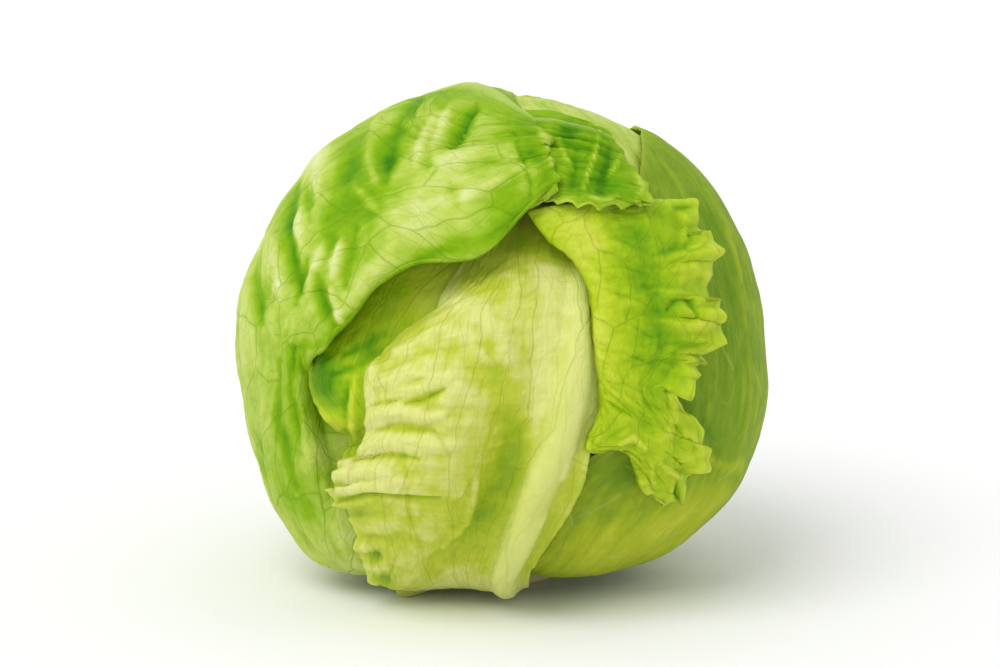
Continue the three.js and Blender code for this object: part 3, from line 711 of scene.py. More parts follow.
FRONT_STROKES = [
    # the crumples at the left, from the top down: painted highlights on their ridges and painted shade in
    # their folds
    (1.9, 1.6, -0.14, (-41, -25), (-35, -21), (-29, -21), (-22, -23), (-17, -22)),
    (1.5, -1.5, 0.26, (-28, -19), (-22.5, -17.5), (-17, -14.5)),
    (1.2, -0.9, 0.18, (-38, -19.5), (-31, -18)),
    (2.6, 1.0, -0.10, (-24, -14), (-16, -12), (-9, -15)),
    (1.6, -0.9, 0.18, (-39, -27), (-30, -26), (-20, -27)),
    (2.4, 1.1, -0.18, (-42, -32), (-33, -30), (-22, -31), (-14, -31)),
    (1.4, -0.9, 0.16, (-44, -36), (-34, -34), (-24, -35)),
    (2.3, 1.2, -0.12, (-50, -41), (-42, -39), (-34, -40.5), (-28, -42)),
    (1.6, 1.2, -0.12, (-49, -45), (-41, -43.5), (-34, -44), (-27, -45)),
    (0.9, -1.4, 0.28, (-49, -48), (-41, -46), (-34, -45.7), (-26, -46.5), (-18, -46.5)),
    (3.0, -0.5, 0.16, (-47, -51), (-40, -50.5), (-33, -50)),
    (1.0, -0.4, 0.07, (-29, -27), (-28, -38), (-27, -50), (-26.5, -60)),
    (1.5, 0.9, -0.14, (-37, -4), (-39, -15), (-39, -27)),
    (12, 0, 0.12, (-42, -52), (-32, -66)),
    (6, 0, -0.24, (-41, -22), (-39, -36)),
    # the flatter blade below them, with two holes that are only dents darkened with painted shade, and the
    # tooth between
    (2.0, 0.4, -0.04, (-42, -55), (-32, -55), (-22, -57)),
    (1.5, -0.4, 0.06, (-40, -58.5), (-30, -58.5), (-20, -61)),
    (1.5, -1.4, 0.50, (-39, -64), (-35.5, -64.7)),
    (2.0, -1.2, 0.46, (-37, -71), (-32, -72)),
    (1.0, 1.0, -0.12, (-41, -66.5), (-37.5, -67.5), (-33.5, -67.5)),
    (1.8, 0.4, -0.04, (-30, -66), (-22, -66), (-15, -68)),
    # long soft folds over the dome of the blade, faintly pale on their crests and darker in their troughs,
    # as painted light and shade
    (3.0, 0.7, -0.06, (-18, 12.5), (-6, 10), (1, 0), (3, -10)),
    (2.0, 0.5, -0.05, (-31, -3), (-20, 3), (-10, 2), (-3, -7)),
    (2.0, -0.4, 0.05, (-34, -9), (-22, -3), (-12, -4), (-5, -13)),
    (2.2, 0.5, -0.04, (-36, -13), (-26, -9), (-15, -10)),
    # the valley beside the rib, wide and darkened with painted shade, with the step down to it
    (5.0, -0.5, 0.18, (-4, -2), (1, -21), (4.5, -33), (1, -43)),
    (6.6, -1.4, 0.26, (5.5, -26), (1, -41), (-4, -51), (-11, -60), (-20, -66)),
    (1.5, 1.2, -0.06, (-7, -42), (-8.5, -49), (-10, -55), (-17, -62)),
    (2.4, -0.5, 0.10, (-2, -44), (-5.5, -53), (-11, -60)),
    # the pale blade along the rib, the rib's crest, partly a painted highlight, and painted shade on its
    # right flank
    (4.0, 0.2, -0.14, (14, 14), (14, 0), (13, -14), (10, -28)),
    (2.2, 0.9, -0.24, (23.5, 9), (24.5, -6), (23.5, -19), (18.5, -40)),
    (2.2, 0.9, -0.10, (12, -51), (6, -61), (0, -69)),
    (9.0, 0, 0.18, (20, -42), (14, -52), (6, -62), (-4, -68)),
    (9.0, 0, 0.10, (-14, -44), (-22, -54)),
    (3.2, 0.3, -0.22, (10, 24), (15, 19), (20, 9)),
    (2.2, 2.4, 0.20, (27, 6), (28, -9), (27.8, -21), (26, -33), (22, -44), (16, -55), (10, -66)),
    # painted shade: green under the lip, where the lip shades the blade, and along the upper left margin
    (6.0, 0, 0.34, (-2, 29), (7, 30), (14, 28), (20, 23)),
    (5.0, 0, 0.14, (-14, 17), (-4, 21), (6, 19)),
    (6, 0, 0.08, (-3, 21), (-2, 8)),
    (3.2, 0, 0.16, (-40, -9), (-31, 0), (-20, 9)),
    (2.5, -0.4, 0.36, (-42, -5), (-38, -2), (-33, 2)),
]
grow_leaf(
    "leaf_front_blade",
    FRONT_NET,
    ([40, 42, 38, 34, 26], [12, 28, 32, 34, 34, 32, 26, 10]),
    "pale_leaf",
    node="leaf_front",
    rib=(4, 4, 0.5),
    puckers=0.8,
    outlines=[(("column", 0), 0.5, FRONT_MARGIN)],
    ruffle=[("left", 5, 0.5, 1.2)],
    strokes=FRONT_STROKES,
    folds=(0.5, 14, 4.5),
    blisters=(0.28, 3.6),
    green=(0.16, 0.12),
    free=("left", "tip"),
)

# The leaf whose front margin comes out past the right leaf and folds back over it, ruffled and toothed
FRILL_NET = net_of([
    ring(-75, -6, 54, 62, 70, 80, 92, 108, 126),
    [
        at(30, -48, -6), at(36, -48, -6), at(44, -48, -6), at(54, -48, -5.5), at(68, -48, -5),
        at(92, -48, -5), at(116, -48, -5),
    ],
    [
        (27, -37, -6), (28, -36, -6), (30, -35, -6), (33, -34, -6), (38, -33, -6),
        at(82, -26, -5), at(108, -26, -5),
    ],
    [
        (27.5, -33, 1), (27.5, -31, 0), (28, -29.5, -1), (29, -28, -3),
        (35, -28, -5.5), at(78, -20, -5), at(106, -18, -5),
    ],
    [
        (42, -37, 5), (35, -32, 4.5), (30, -28, 4), (29.5, -24, 0.5),
        (35, -23, -4.5), at(76, -14, -5), at(106, -12, -5),
    ],
    [
        (57, -47, 7), (44, -35, 7), (33, -24, 5), (30.5, -19, 0.5), (35, -19, -4),
        at(76, -8, -5), at(106, -6, -5),
    ],
    [
        (61, -33, 8), (46, -26, 7.5), (33, -17, 5), (30.5, -13, 0.5), (35, -13, -4),
        at(76, -1, -5), at(106, 0, -5),
    ],
    [
        (49, -15, 7.5), (41, -14, 7), (32.5, -9, 5.5), (29.5, -6, 1), (34, -6, -4),
        at(76, 7, -5), at(106, 7, -5),
    ],
    [(67, -1, 8), (48, 0, 7.5), (32.5, 1, 5.5), (29, 3, 1), (34, 3, -4), at(76, 14, -5), at(106, 14, -5)],
    [
        (66, 13, 8), (48, 13, 7), (32, 13, 5.5), (27.5, 14, 1), (32.5, 14, -4),
        at(76, 22, -5), at(106, 22, -5),
    ],
    [
        (66, 27, 8), (46, 24, 7), (28.5, 24, 5.5), (22.5, 24, 1), (28, 26, -4.5),
        at(74, 30, -6), at(104, 30, -6),
    ],
    [
        (60, 37, 7.5), (42, 35, 6.5), (23, 33, 5.5), (14, 31.5, 1), (22, 34, -5),
        at(68, 36, -7.5), at(100, 36, -7.5),
    ],
    [(56, 43, 6), (38, 42, 6), (20, 41, 5), (8.5, 39, 1), (16, 41, -7), at(56, 40, -9), at(92, 41, -9)],
])
FRILL_MARGIN = [
    (27.3, -29), (27.3, -32), (33.6, -31.2), (36.9, -32.6), (39.9, -30.9), (43.2, -32.7), (44.6, -38),
    (46, -41), (42.3, -46), (46.4, -44.6), (47.4, -48), (49.6, -50.4), (52.5, -48.5), (55.6, -49.6),
    (56.4, -44.2), (57.6, -39), (63, -39), (62.4, -35.6), (63.8, -32.4), (60.4, -32), (61.4, -27),
    (58.6, -23), (55.2, -20.7), (51.3, -15), (54.6, -15.3), (57.6, -17.2), (58, -11.7), (60.8, -10),
    (58.2, -8), (60, -6.6), (63.8, -6.6), (60.4, -4.4), (68.2, -0.8), (66.4, 3.3), (64.8, 6),
    (67.4, 7), (65.6, 9.9), (66.8, 13), (63.3, 12.6), (62.4, 16.5), (64, 20), (62.6, 24.4),
    (67.4, 27.2), (64.2, 30), (63.6, 33.4), (59.6, 34.6), (58.4, 38), (59, 41.5), (55.4, 42.4), (52, 40.4),
]
FRILL_STROKES = [
    # the deep green valley down the middle, and the hollows that leave it, darkened with painted shade,
    # with a painted shadow under the fold's overlapping edge
    (
        6.5, -0.9, 0.24, (34, 47), (38, 39), (41.5, 31), (43.5, 22), (45, 14), (46.5, 7), (48, 0),
        (48, -8), (47.5, -15), (44, -24),
    ),
    (2.6, -0.5, 0.05, (43, 20), (46, 12), (48, 5), (48.5, -6)),
    (4.5, 0, 0.20, (40, 43), (46, 41), (52, 38), (58, 36)),
    (7, 0, 0.10, (46, 29), (56, 33)),
    (1.8, -0.8, 0.18, (47, 26), (52, 27.5), (56.5, 29)),
    (1.5, -1.3, 0.20, (50.5, 9.5), (53, 12.5), (56.5, 12.5), (59, 7.5)),
    (1.2, -0.9, 0.16, (56.5, 34.5), (58, 30.5)),
    (1.2, -0.9, 0.14, (52, 40), (56.5, 40)),
    (1.4, -0.7, 0.12, (51, -1), (56, -1.5), (61, -1)),
    (0.8, -0.9, 0.20, (32.5, -18), (36.5, -21), (39, -22.5)),
    (1.0, -0.5, 0.08, (32, -30), (38.5, -25)),
    (1.0, -0.9, 0.18, (52, -25), (54.5, -27.5)),
    (1.7, -1.0, 0.30, (53, -42), (53.5, -48)),
    # ridges that run out to the teeth, made paler as painted light
    (1.4, 1.0, -0.12, (49, 6), (55, 4), (61, 4.5), (66, 6)),
    (1.2, 0.8, -0.10, (47, 15.5), (52, 14), (58, 13.5)),
    (1.2, 0.8, -0.10, (53.5, 38), (56.5, 35), (55, 29)),
    (1.3, 0.8, -0.10, (58, 28), (62, 29.5), (66, 27)),
    (1.4, 0.5, -0.10, (63, 25), (62.5, 17)),
    (1.3, 0.7, -0.08, (52, 21), (57, 22), (61, 20)),
    (1.4, 0.8, -0.08, (54, -3.5), (60, -4), (66, -1)),
    (1.3, 0.7, -0.08, (52, -9), (56, -9), (60, -9.5)),
    (1.0, 0.7, -0.14, (50.5, -14), (53, -21), (50.5, -28), (48, -29.5)),
    (1.0, 0.8, -0.14, (54, -26.5), (57.5, -28.5), (60, -32)),
    (0.8, 0.6, -0.16, (58, -34), (62.5, -32.8)),
    (0.8, 0.6, -0.16, (58, -38), (62.5, -38.2)),
    (0.9, 0.8, -0.20, (48, -36.5), (51.5, -39.5), (54, -41), (57, -39.5)),
    (0.8, 0.5, -0.16, (45.5, -37), (46, -45)),
    (0.7, 0.5, -0.18, (51.5, -42), (51.5, -48)),
    (0.8, 0.8, -0.30, (36, -31), (40, -29), (43.5, -32)),
    # painted light along the fold, and the fine creases that cross it, darkened with painted shade
    (5.0, 0.3, -0.34, (16, 38), (23, 35), (30, 24)),
    (3.5, 0.2, -0.14, (32, 14), (32, 2), (33, -10), (36, -18)),
    (1.7, 0, -0.18, (14, 34), (22, 25), (30, 18), (29.5, 7), (29, -3), (30, -14)),
    (0.7, -0.3, 0.06, (29, 29.5), (35, 31), (40, 29)),
    (0.7, -0.3, 0.06, (29, 21.5), (36, 22.5), (42, 21)),
    (0.7, -0.3, 0.06, (31, 15.5), (39, 13), (45, 10.5)),
    (0.7, -0.3, 0.05, (31, 6), (39, 5), (46, 1)),
    (0.7, -0.3, 0.05, (31, -3), (39, -4), (45, -7)),
    (0.7, -0.3, 0.05, (32, -12), (38, -13), (43, -16)),
]
grow_leaf(
    "leaf_frill_blade",
    FRILL_NET,
    ([44, 40, 22, 14, 12, 10], [8, 8, 12, 20, 26, 28, 30, 32, 32, 30, 30, 26]),
    "frill_leaf",
    node="leaf_frill",
    puckers=0.8,
    outlines=[(("column", 0), 0.55, FRILL_MARGIN)],
    ruffle=[("left", 8, 1.0, 1.4), ("left", 19, 0.4, 0.7)],
    tugs=[(31, -29, -4, -3, 0.5, 4)],
    strokes=FRILL_STROKES,
    folds=(0.6, 9, 6),
    blisters=(0.5, 4.5),
    green=(0.42, 0.42),
    free=("left", "tip"),
)

# The smooth wrapper leaf of the right side
RIGHT_NET = net_of([
    [
        at(8, -75, -2.5), at(36, -75, -2), at(68, -75, -2), at(100, -75, -2), at(126, -75, -2),
        at(146, -75, -2),
    ],
    [at(8, -54, -4), at(36, -51, 0), at(68, -50, 0), at(100, -50, 0), at(128, -50, 0), at(150, -50, -1)],
    [(16, -43.5, -6), at(44, -28, 0), at(72, -27, 0), at(100, -26, 0), at(128, -26, 0), at(154, -26, -1)],
    [(33, -29.5, -1.8), at(50, -6, 0), at(74, -4, 0), at(102, -2, 0), at(130, -2, 0), at(156, -2, -1)],
    [(40, -8, -1), at(52, 14, 0), at(76, 18, 0), at(104, 20, 0), at(132, 20, 0), at(156, 18, -1)],
    [(42, 17, -1), at(56, 32, 0), at(80, 38, 0), at(108, 40, 0), at(134, 38, 0), at(156, 34, -1)],
    [
        (40.5, 43.5, -1.6), (42.5, 59.5, -1.3), at(98, 56, -1.2), at(116, 54, -0.8),
        at(134, 50, 0), at(150, 46, -1),
    ],
])
RIGHT_STROKES = [
    # a small raised fold, paler on its crest as painted light, and a hollow darkened with painted shade
    (1.6, 0.7, -0.10, (63.5, -35), (67, -37), (71, -36), (71.5, -40)),
    (1.8, -0.7, 0.08, (61, -24), (63.5, -30), (65, -35)),
    (1.2, 0.4, -0.06, (43, -60), (50, -55), (57, -51)),
    # painted shade beside the frill, paler towards the bottom, and a painted shadow under the frill's lower
    # lobe
    (6.0, 0, 0.14, (46, 56), (58, 42), (65, 28), (68, 10), (68, -10), (66, -28)),
    (9.0, 0, -0.34, (14, -66), (35, -62), (52, -57), (66, -46)),
    (4.5, 0, 0.12, (26, -38), (34, -37), (43, -40)),
    (6, 0, 0.18, (57, -11), (58, -36)),
    (1.0, 0.3, -0.10, (47, 57), (54, 47), (60, 36), (64, 24)),
    (1.0, 0.3, -0.10, (56, 54), (65, 40), (71, 22), (73, 4)),
    (1.0, 0.3, -0.08, (68.5, -1), (70, -14), (67, -28)),
]
grow_leaf(
    "leaf_right_blade",
    RIGHT_NET,
    ([36, 44, 34, 26, 16], [20, 34, 34, 34, 28, 26]),
    "shade_leaf",
    node="leaf_right",
    rib=(3, 2, 0.18),
    puckers=1.0,
    strokes=RIGHT_STROKES,
    folds=(0.7, 13, 60),
    blisters=(0.2, 5),
    green=(0.50, 0.58),
    free=("left", "right", "tip"),
)

# A leaf of the heart that bulges out at the left, between the lip above and the pale leaf in front
BULGE_NET = net_of([
    [at(-24, -75, -2.5), at(-16, -75, -2.5), at(-8, -75, -2.5), at(0, -75, -3)],
    [(-33, -58, -6), (-19, -54, -3), (-10, -54, -4), (-4, -56, -4.5)],
    [(-46, -41, -7), (-30, -36, -2.5), (-16, -36, -3), (-5, -38, -7)],
    [(-50, -27, -3), (-40, -25, -1), (-27, -24, 0), (-8, -24, -4)],
    [(-56.5, -14, -2.8), (-48, -13, -1.2), (-34, -12, -2), (-12, -10, -5)],
    [(-53, -5.5, -5), (-44.5, 0, -4.8), (-32, 4, -9), (-12, 7, -11)],
    [(-50, 6, -10), (-40, 14, -9), (-22, 20, -12), (-6, 22, -13.5)],
    [(-40, 21, -12), (-29, 28, -12), (-14, 33, -13.6), (0, 34, -13.6)],
])
BULGE_STROKES = [
    # painted shade in its creases and on its left side, and painted light on its ridges
    (1.6, -0.9, 0.14, (-50, -10), (-45, -8), (-40, -5.5), (-33, -1.5)),
    (1.2, 1.0, -0.16, (-43, -11), (-44, -20), (-43, -29)),
    (1.1, -0.8, 0.12, (-45.5, -12), (-46.5, -20), (-45.5, -27)),
    (6.5, 0.4, -0.30, (-30, 6), (-26, 10), (-20, 14), (-13, 19), (-5, 23)),
    (2.5, -0.5, 0.40, (-46, -4), (-40, -2), (-35, 2)),
    (5, 0, -0.16, (-30, 18), (-20, 24)),
    (6, 0, 0.60, (-55, -1), (-54, -10), (-50, -18)),
    (2.2, 0.7, -0.12, (-53, -21), (-49, -24), (-45, -26)),
]
BULGE_MARGIN = [
    (-45.2, -31.6), (-45.6, -28.4), (-49, -26.2), (-52.6, -23), (-55.6, -18.4), (-57.2, -13), (-57.4, -7),
    (-56, -1),
]
grow_leaf(
    "leaf_bulge_blade",
    BULGE_NET,
    ([30, 34, 20], [8, 18, 24, 26, 24, 18, 12]),
    "inner_leaf",
    node="leaf_bulge",
    puckers=0.4,
    outlines=[(("column", 0), 0.5, BULGE_MARGIN)],
    strokes=BULGE_STROKES,
    folds=(0.4, 10, 30),
    blisters=(0.3, 4),
    green=(0.46, 0.50),
    free=("left", "tip"),
)

# The wrapper leaf of the back, outermost there, with a strong midrib
BACK_NET = net_of([
    ring(-75, 2, 142, 162, 184, 206, 224),
    [at(130, -50, 3.5), at(155, -50, 4), at(183, -50, 4), at(212, -50, 4), at(232, -50, 3.5)],
    [at(124, -25, 3.5), at(151, -25, 4), at(182, -25, 4), at(214, -25, 4), at(236, -25, 3.5)],
    [at(124, 0, 3.5), at(150, 0, 4), at(181, 0, 4), at(214, 0, 4), at(234, -2, 3.5)],
    [at(130, 20, 3.5), at(153, 23, 4), at(180, 24, 4), at(208, 22, 4), at(228, 16, 4)],
    [at(140, 36, 4), at(158, 42, 4), at(180, 45, 4), at(202, 42, 4.5), at(218, 34, 5)],
    [at(154, 45, 3), at(166, 50.5, 2.6), at(180, 54, 2.6), at(194, 52, 3.6), at(206, 46, 5)],
])
grow_leaf(
    "leaf_back_blade",
    BACK_NET,
    ([38, 40, 40, 38], [28, 32, 32, 32, 32, 26]),
    "outer_leaf",
    node="leaf_back",
    rib=(2, 3.2, 0.2),
    puckers=1.2,
    teeth=[("tip", 13, 0.35, 1.2), ("left", 17, 0.08, 0.6), ("right", 17, 0.08, 0.6)],
    ruffle=[("tip", 4, 1.5, 1), ("tip", 11, 0.8, 0.6)],
    folds=(1.2, 12, 40),
    blisters=(0.35, 5),
    green=(0.36, 0.60),
    free=("left", "right", "tip"),
)

# The leaf inside that one, which passes over the top and shows behind the crumpled tip
CROWN_NET = net_of([
    ring(-75, -8, 146, 164, 184, 204, 222),
    ring(-45, -9, 126, 154, 183, 212, 238),
    ring(-10, -9, 116, 150, 182, 214, 244),
    [at(112, 26, -9), at(148, 28, -9), at(180, 28, -9), at(212, 28, -9), at(244, 26, -9)],
    [at(104, 43, -5), at(132, 58, -3.5), at(180, 68, -4.5), at(224, 62, -6), at(250, 52, -8)],
    [at(87, 45, -2.9), at(78, 68, -2.2), at(-20, 86, -3), at(-98, 78, -5), at(-106, 66, -6)],
    [(58, 37, -5), (45, 40, -4.8), (23, 48, -3.2), (-10, 58, -4.5), (-32, 54, -6)],
])
grow_leaf(
    "leaf_crown_blade",
    CROWN_NET,
    ([26, 32, 40, 30], [8, 12, 20, 26, 40, 34]),
    "crown_leaf",
    node="leaf_crown",
    rib=(2, 1, 0.15),
    puckers=0.8,
    folds=(0.5, 12, 40),
    blisters=(0.2, 5),
    green=(0.30, 0.36),
    free=("left", "right", "tip"),
)


def add_node(tree, kind, inputs=None, **settings):
    """Adds a node, sets it up, and gives its inputs values or links to other nodes' sockets."""
    node = tree.nodes.new(kind)
    for key, value in settings.items():
        setattr(node, key, value)
    for key, value in (inputs or {}).items():
        if isinstance(value, bpy.types.NodeSocket):
            tree.links.new(value, node.inputs[key])
        else:
            node.inputs[key].default_value = value
    return node


def colour(*levels):
    """A colour given as it looks, from 0 to 255, in the linear light that shaders use."""
    shares = [level / 255 for level in levels]
    return (*[s / 12.92 if s <= 0.04045 else ((s + 0.055) / 1.055) ** 2.4 for s in shares], 1.0)


def maths(tree, operation, *values):
    """The outcome of one operation on numbers or on other nodes' sockets."""
    return add_node(tree, "ShaderNodeMath", dict(enumerate(values)), operation=operation).outputs[0]


def vectors(tree, operation, inputs):
    return add_node(tree, "ShaderNodeVectorMath", inputs, operation=operation).outputs[0]


def mixed(tree, share, first, second):
    """The first colour where the share is 0, and the second where it is 1."""
    inputs = {0: share, 6: first, 7: second}
    return add_node(tree, "ShaderNodeMix", inputs, data_type="RGBA").outputs[2]


def scaled(tree, place, scale):
    return add_node(tree, "ShaderNodeMapping", {"Vector": place, "Scale": scale}).outputs[0]


def uneven(tree, place, scale, detail, roughness=0.5, dimensions="3D"):
    """Soft random shades, as many to the metre, or to a tenth of one on a leaf's plan, as scale says."""
    inputs = {"Vector": place, "Scale": scale, "Detail": detail, "Roughness": roughness}
    return add_node(tree, "ShaderNodeTexNoise", inputs, noise_dimensions=dimensions).outputs


def about_zero(tree, shade):
    return maths(tree, "SUBTRACT", shade["Fac"], 0.5)


def feigned(tree, height, strength):
    """The direction the surface faces, with the finest relief feigned on it."""
    inputs = {"Height": height, "Strength": strength, "Distance": FEIGNED_RELIEF}
    return add_node(tree, "ShaderNodeBump", inputs).outputs[0]


def vein_lines(tree, plan, spacing, width, stretch):
    """A net of veins on the flat leaf. spacing and width are in millimetres; 1 on a vein, 0 between."""
    cells = 100 / spacing
    placed = scaled(tree, plan, (cells, cells * stretch, 1))
    lines = add_node(
        tree,
        "ShaderNodeTexVoronoi",
        {"Vector": placed, "Scale": 1.0, "Randomness": 0.9},
        voronoi_dimensions="2D",
        feature="DISTANCE_TO_EDGE",
    )
    fall = {"Value": lines.outputs["Distance"], "From Max": width / spacing, "To Min": 1.0, "To Max": 0.0}
    return add_node(tree, "ShaderNodeMapRange", fall, interpolation_type="SMOOTHSTEP").outputs[0]


def new_material(name):
    """An empty material, its tree, and what the mesh stores for it at each place."""
    material = bpy.data.materials.new(name)
    material.use_nodes = True
    tree = material.node_tree
    tree.nodes.clear()
    growth = add_node(tree, "ShaderNodeAttribute", attribute_name="growth")
    parts = add_node(tree, "ShaderNodeSeparateColor", {"Color": growth.outputs["Color"]})
    return material, tree, parts.outputs


def end_material(tree, skin):
    """Ends a material's tree with one surface, set up with what skin says."""
    surface = add_node(tree, "ShaderNodeBsdfPrincipled", skin)
    add_node(tree, "ShaderNodeOutputMaterial", {"Surface": surface.outputs[0]})


# Veins from large to small: spacing and width in millimetres, and how far the net is drawn out lengthwise
NETTED = ((12, 0.34, 0.6), (5, 0.26, 0.7), (2, 0.22, 0.8))
DRAWN_OUT = ((9, 0.2, 0.13), (4.2, 0.16, 0.16), (1.7, 0.2, 0.25))
VEIN_SLANT = 0.8
VEIN_WAVER = 0.06
MIDDLE_VEINS = 0.7
SMALL_VEINS = 0.3

# Unevenness in a leaf's material, as the numbers that uneven takes
WAVER = (70.0, 2.0)
PATCHES = (45.0, 1.0)
MOTTLES = (260.0, 4.0, 0.6)
BLISTERS = (330.0, 2.0)
GRAIN = (900.0, 3.0)
STREAKS = (38.0, 4.0)
WRINKLES = (62.0, 3.0)
STREAKS_DRAWN_OUT = (1, 0.16, 1)
WRINKLES_DRAWN_ASIDE = (0.14, 1, 1)

# How far each thing changes the colour: in steps of green, or as the share it covers
MOTTLE_GREEN = 0.22
WRINKLE_PAINTED_SHADE = 0.4
RIB_COVER = 0.85
EDGE_COVER = 0.45

# The finest relief, which the materials only feign: its height, and what makes it up
FEIGNED_RELIEF = 0.8 * MM
LEAF_RELIEF_SHARE = 0.6
STEM_RELIEF_SHARE = 0.4
GRAIN_HEIGHT = 0.12
VEIN_DEPTH = 0.5
ROUGHNESS_SPREAD = 0.18


def leaf_finish(name, ramp, veins, vein, vein_strength, rib_colour, margin, surface, uneven_by):
    """A leaf's material: green by growth, a net of veins, blistered between them, and light through it.

    surface     roughness, gloss, and glow: how much light passes through the blade
    uneven_by   how strong the streaks along the leaf and the wrinkles across it are
    """
    material, tree, (green, rib, edge) = new_material(name)
    roughness, gloss, glow = surface
    streaks, wrinkles = uneven_by
    where = add_node(tree, "ShaderNodeTexCoord").outputs["Object"]
    plan = add_node(tree, "ShaderNodeUVMap", uv_map="leaf_plan").outputs[0]

    # the plan leans so that veins leave the rib at a slant, and wavers as they do
    split = add_node(tree, "ShaderNodeSeparateXYZ", {"Vector": plan})
    aside = maths(tree, "ABSOLUTE", split.outputs[0])
    upward = maths(tree, "MULTIPLY_ADD", aside, -VEIN_SLANT, split.outputs[1])
    leaning = add_node(tree, "ShaderNodeCombineXYZ", {"X": split.outputs[0], "Y": upward}).outputs[0]
    waver = uneven(tree, where, *WAVER)["Color"]
    push = vectors(tree, "SUBTRACT", {0: waver, 1: (0.5, 0.5, 0.5)})
    pushed = vectors(tree, "SCALE", {0: push, 3: VEIN_WAVER})
    wavering = vectors(tree, "ADD", {0: leaning, 1: pushed})
    large, middle, small = [vein_lines(tree, wavering, *style) for style in veins]
    shown = maths(tree, "MULTIPLY", uneven(tree, where, *PATCHES)["Fac"], 1.3)
    middle = maths(tree, "MULTIPLY", middle, MIDDLE_VEINS)
    small = maths(tree, "MULTIPLY", small, SMALL_VEINS)
    finer = maths(tree, "MULTIPLY", maths(tree, "MAXIMUM", middle, small), shown)
    net = maths(tree, "MAXIMUM", large, finer)

    # how green: by growth, with streaks along the leaf, wrinkles across it and mottles; the wrinkles are
    # painted paler on their crests and greener in their troughs, as painted light and shade
    mottle = uneven(tree, where, *MOTTLES)
    streak = uneven(tree, scaled(tree, leaning, STREAKS_DRAWN_OUT), *STREAKS, dimensions="2D")
    streaked = maths(tree, "MULTIPLY_ADD", about_zero(tree, streak), streaks, green)
    wrinkle = uneven(tree, scaled(tree, plan, WRINKLES_DRAWN_ASIDE), *WRINKLES, dimensions="2D")
    off_rib = maths(tree, "SUBTRACT", 1.0, rib)
    wrinkle = maths(tree, "MULTIPLY", about_zero(tree, wrinkle), off_rib)
    wrinkled = maths(tree, "MULTIPLY_ADD", wrinkle, -WRINKLE_PAINTED_SHADE * wrinkles, streaked)
    level = maths(tree, "MULTIPLY_ADD", about_zero(tree, mottle), MOTTLE_GREEN, wrinkled)
    shade = add_node(tree, "ShaderNodeValToRGB", {0: level})
    stops = shade.color_ramp.elements
    while len(stops) < len(ramp):
        stops.new(0.5)
    for stop, (position, value) in zip(stops, ramp):
        stop.position = position
        stop.color = colour(*value)
    skin = shade.outputs[0]
    covers = ((net, vein_strength, vein), (rib, RIB_COVER, rib_colour), (edge, EDGE_COVER, margin))
    for share, strength, tone in covers:
        skin = mixed(tree, maths(tree, "MULTIPLY", share, strength), skin, colour(*tone))

    grain = uneven(tree, where, *GRAIN)["Fac"]
    blister = uneven(tree, where, *BLISTERS)["Fac"]
    swelling = maths(tree, "MULTIPLY_ADD", wrinkle, 2 * wrinkles, blister)
    fine = maths(tree, "MULTIPLY_ADD", grain, GRAIN_HEIGHT, swelling)
    height = maths(tree, "MULTIPLY_ADD", net, -VEIN_DEPTH, fine)
    rough = maths(tree, "MULTIPLY", about_zero(tree, mottle), ROUGHNESS_SPREAD)
    end_material(tree, {
        "Base Color": skin,
        "Roughness": maths(tree, "ADD", rough, roughness),
        "Normal": feigned(tree, height, LEAF_RELIEF_SHARE),
        "Subsurface Weight": glow,
        "Subsurface Radius": (0.8, 1.0, 0.15),
        "Subsurface Scale": 3.5 * MM,
        "Specular IOR Level": gloss,
    })
    return material


# Greens from pale to deep, as they look in even light
OUTER_RAMP = [
    (0, (214, 224, 156)), (0.28, (184, 203, 90)), (0.55, (136, 176, 24)),
    (0.85, (90, 146, 10)), (1, (58, 120, 10)),
]
PALE_RAMP = [
    (0, (214, 219, 130)), (0.25, (188, 200, 62)), (0.55, (162, 186, 34)),
    (0.85, (120, 164, 50)), (1, (92, 144, 40)),
]
FRILL_RAMP = [
    (0, (200, 210, 76)), (0.3, (178, 200, 34)), (0.55, (146, 182, 10)),
    (0.85, (98, 152, 0)), (1, (70, 130, 0)),
]
# for the right leaf, which lies away from the light: darker, duller greens, partly its own colour and
# partly painted shade
SHADE_RAMP = [
    (0, (190, 198, 60)), (0.3, (164, 180, 42)), (0.55, (126, 156, 38)),
    (0.85, (94, 134, 28)), (1, (70, 112, 22)),
]

# For each slot: greens, veins, their colour and strength, colours of rib and margin, surface, unevenness
LEAF_LOOKS = {
    "outer_leaf": (
        OUTER_RAMP, NETTED, (108, 152, 24), 0.42, (204, 214, 128), (190, 210, 70),
        (0.5, 0.03, 0.3), (0.22, 0),
    ),
    "pale_leaf": (
        PALE_RAMP, DRAWN_OUT, (174, 184, 70), 0.4, (212, 217, 134), (206, 216, 84),
        (0.48, 0.12, 0.35), (0.2, 0.3),
    ),
    "frill_leaf": (
        FRILL_RAMP, NETTED, (126, 160, 20), 0.36, (220, 228, 150), (196, 216, 70),
        (0.46, 0.12, 0.35), (0.25, 0.3),
    ),
    "shade_leaf": (
        SHADE_RAMP, DRAWN_OUT, (168, 190, 96), 0.4, (200, 212, 130), (176, 194, 72),
        (0.55, 0.02, 0.25), (0.4, 0),
    ),
    "inner_leaf": (
        FRILL_RAMP, DRAWN_OUT, (150, 180, 60), 0.35, (222, 230, 168), (196, 210, 70),
        (0.5, 0.1, 0.3), (0.35, 0.2),
    ),
    "crown_leaf": (
        OUTER_RAMP, DRAWN_OUT, (160, 190, 70), 0.35, (222, 230, 168), (192, 208, 78),
        (0.5, 0.08, 0.3), (0.4, 0),
    ),
    "heart_leaf": (
        PALE_RAMP, DRAWN_OUT, (190, 200, 100), 0.35, (232, 234, 172), (210, 216, 112),
        (0.5, 0.15, 0.35), (0.3, 0.3),
    ),
}
finishes = {slot: leaf_finish(slot + "_green", *look) for slot, look in LEAF_LOOKS.items()}


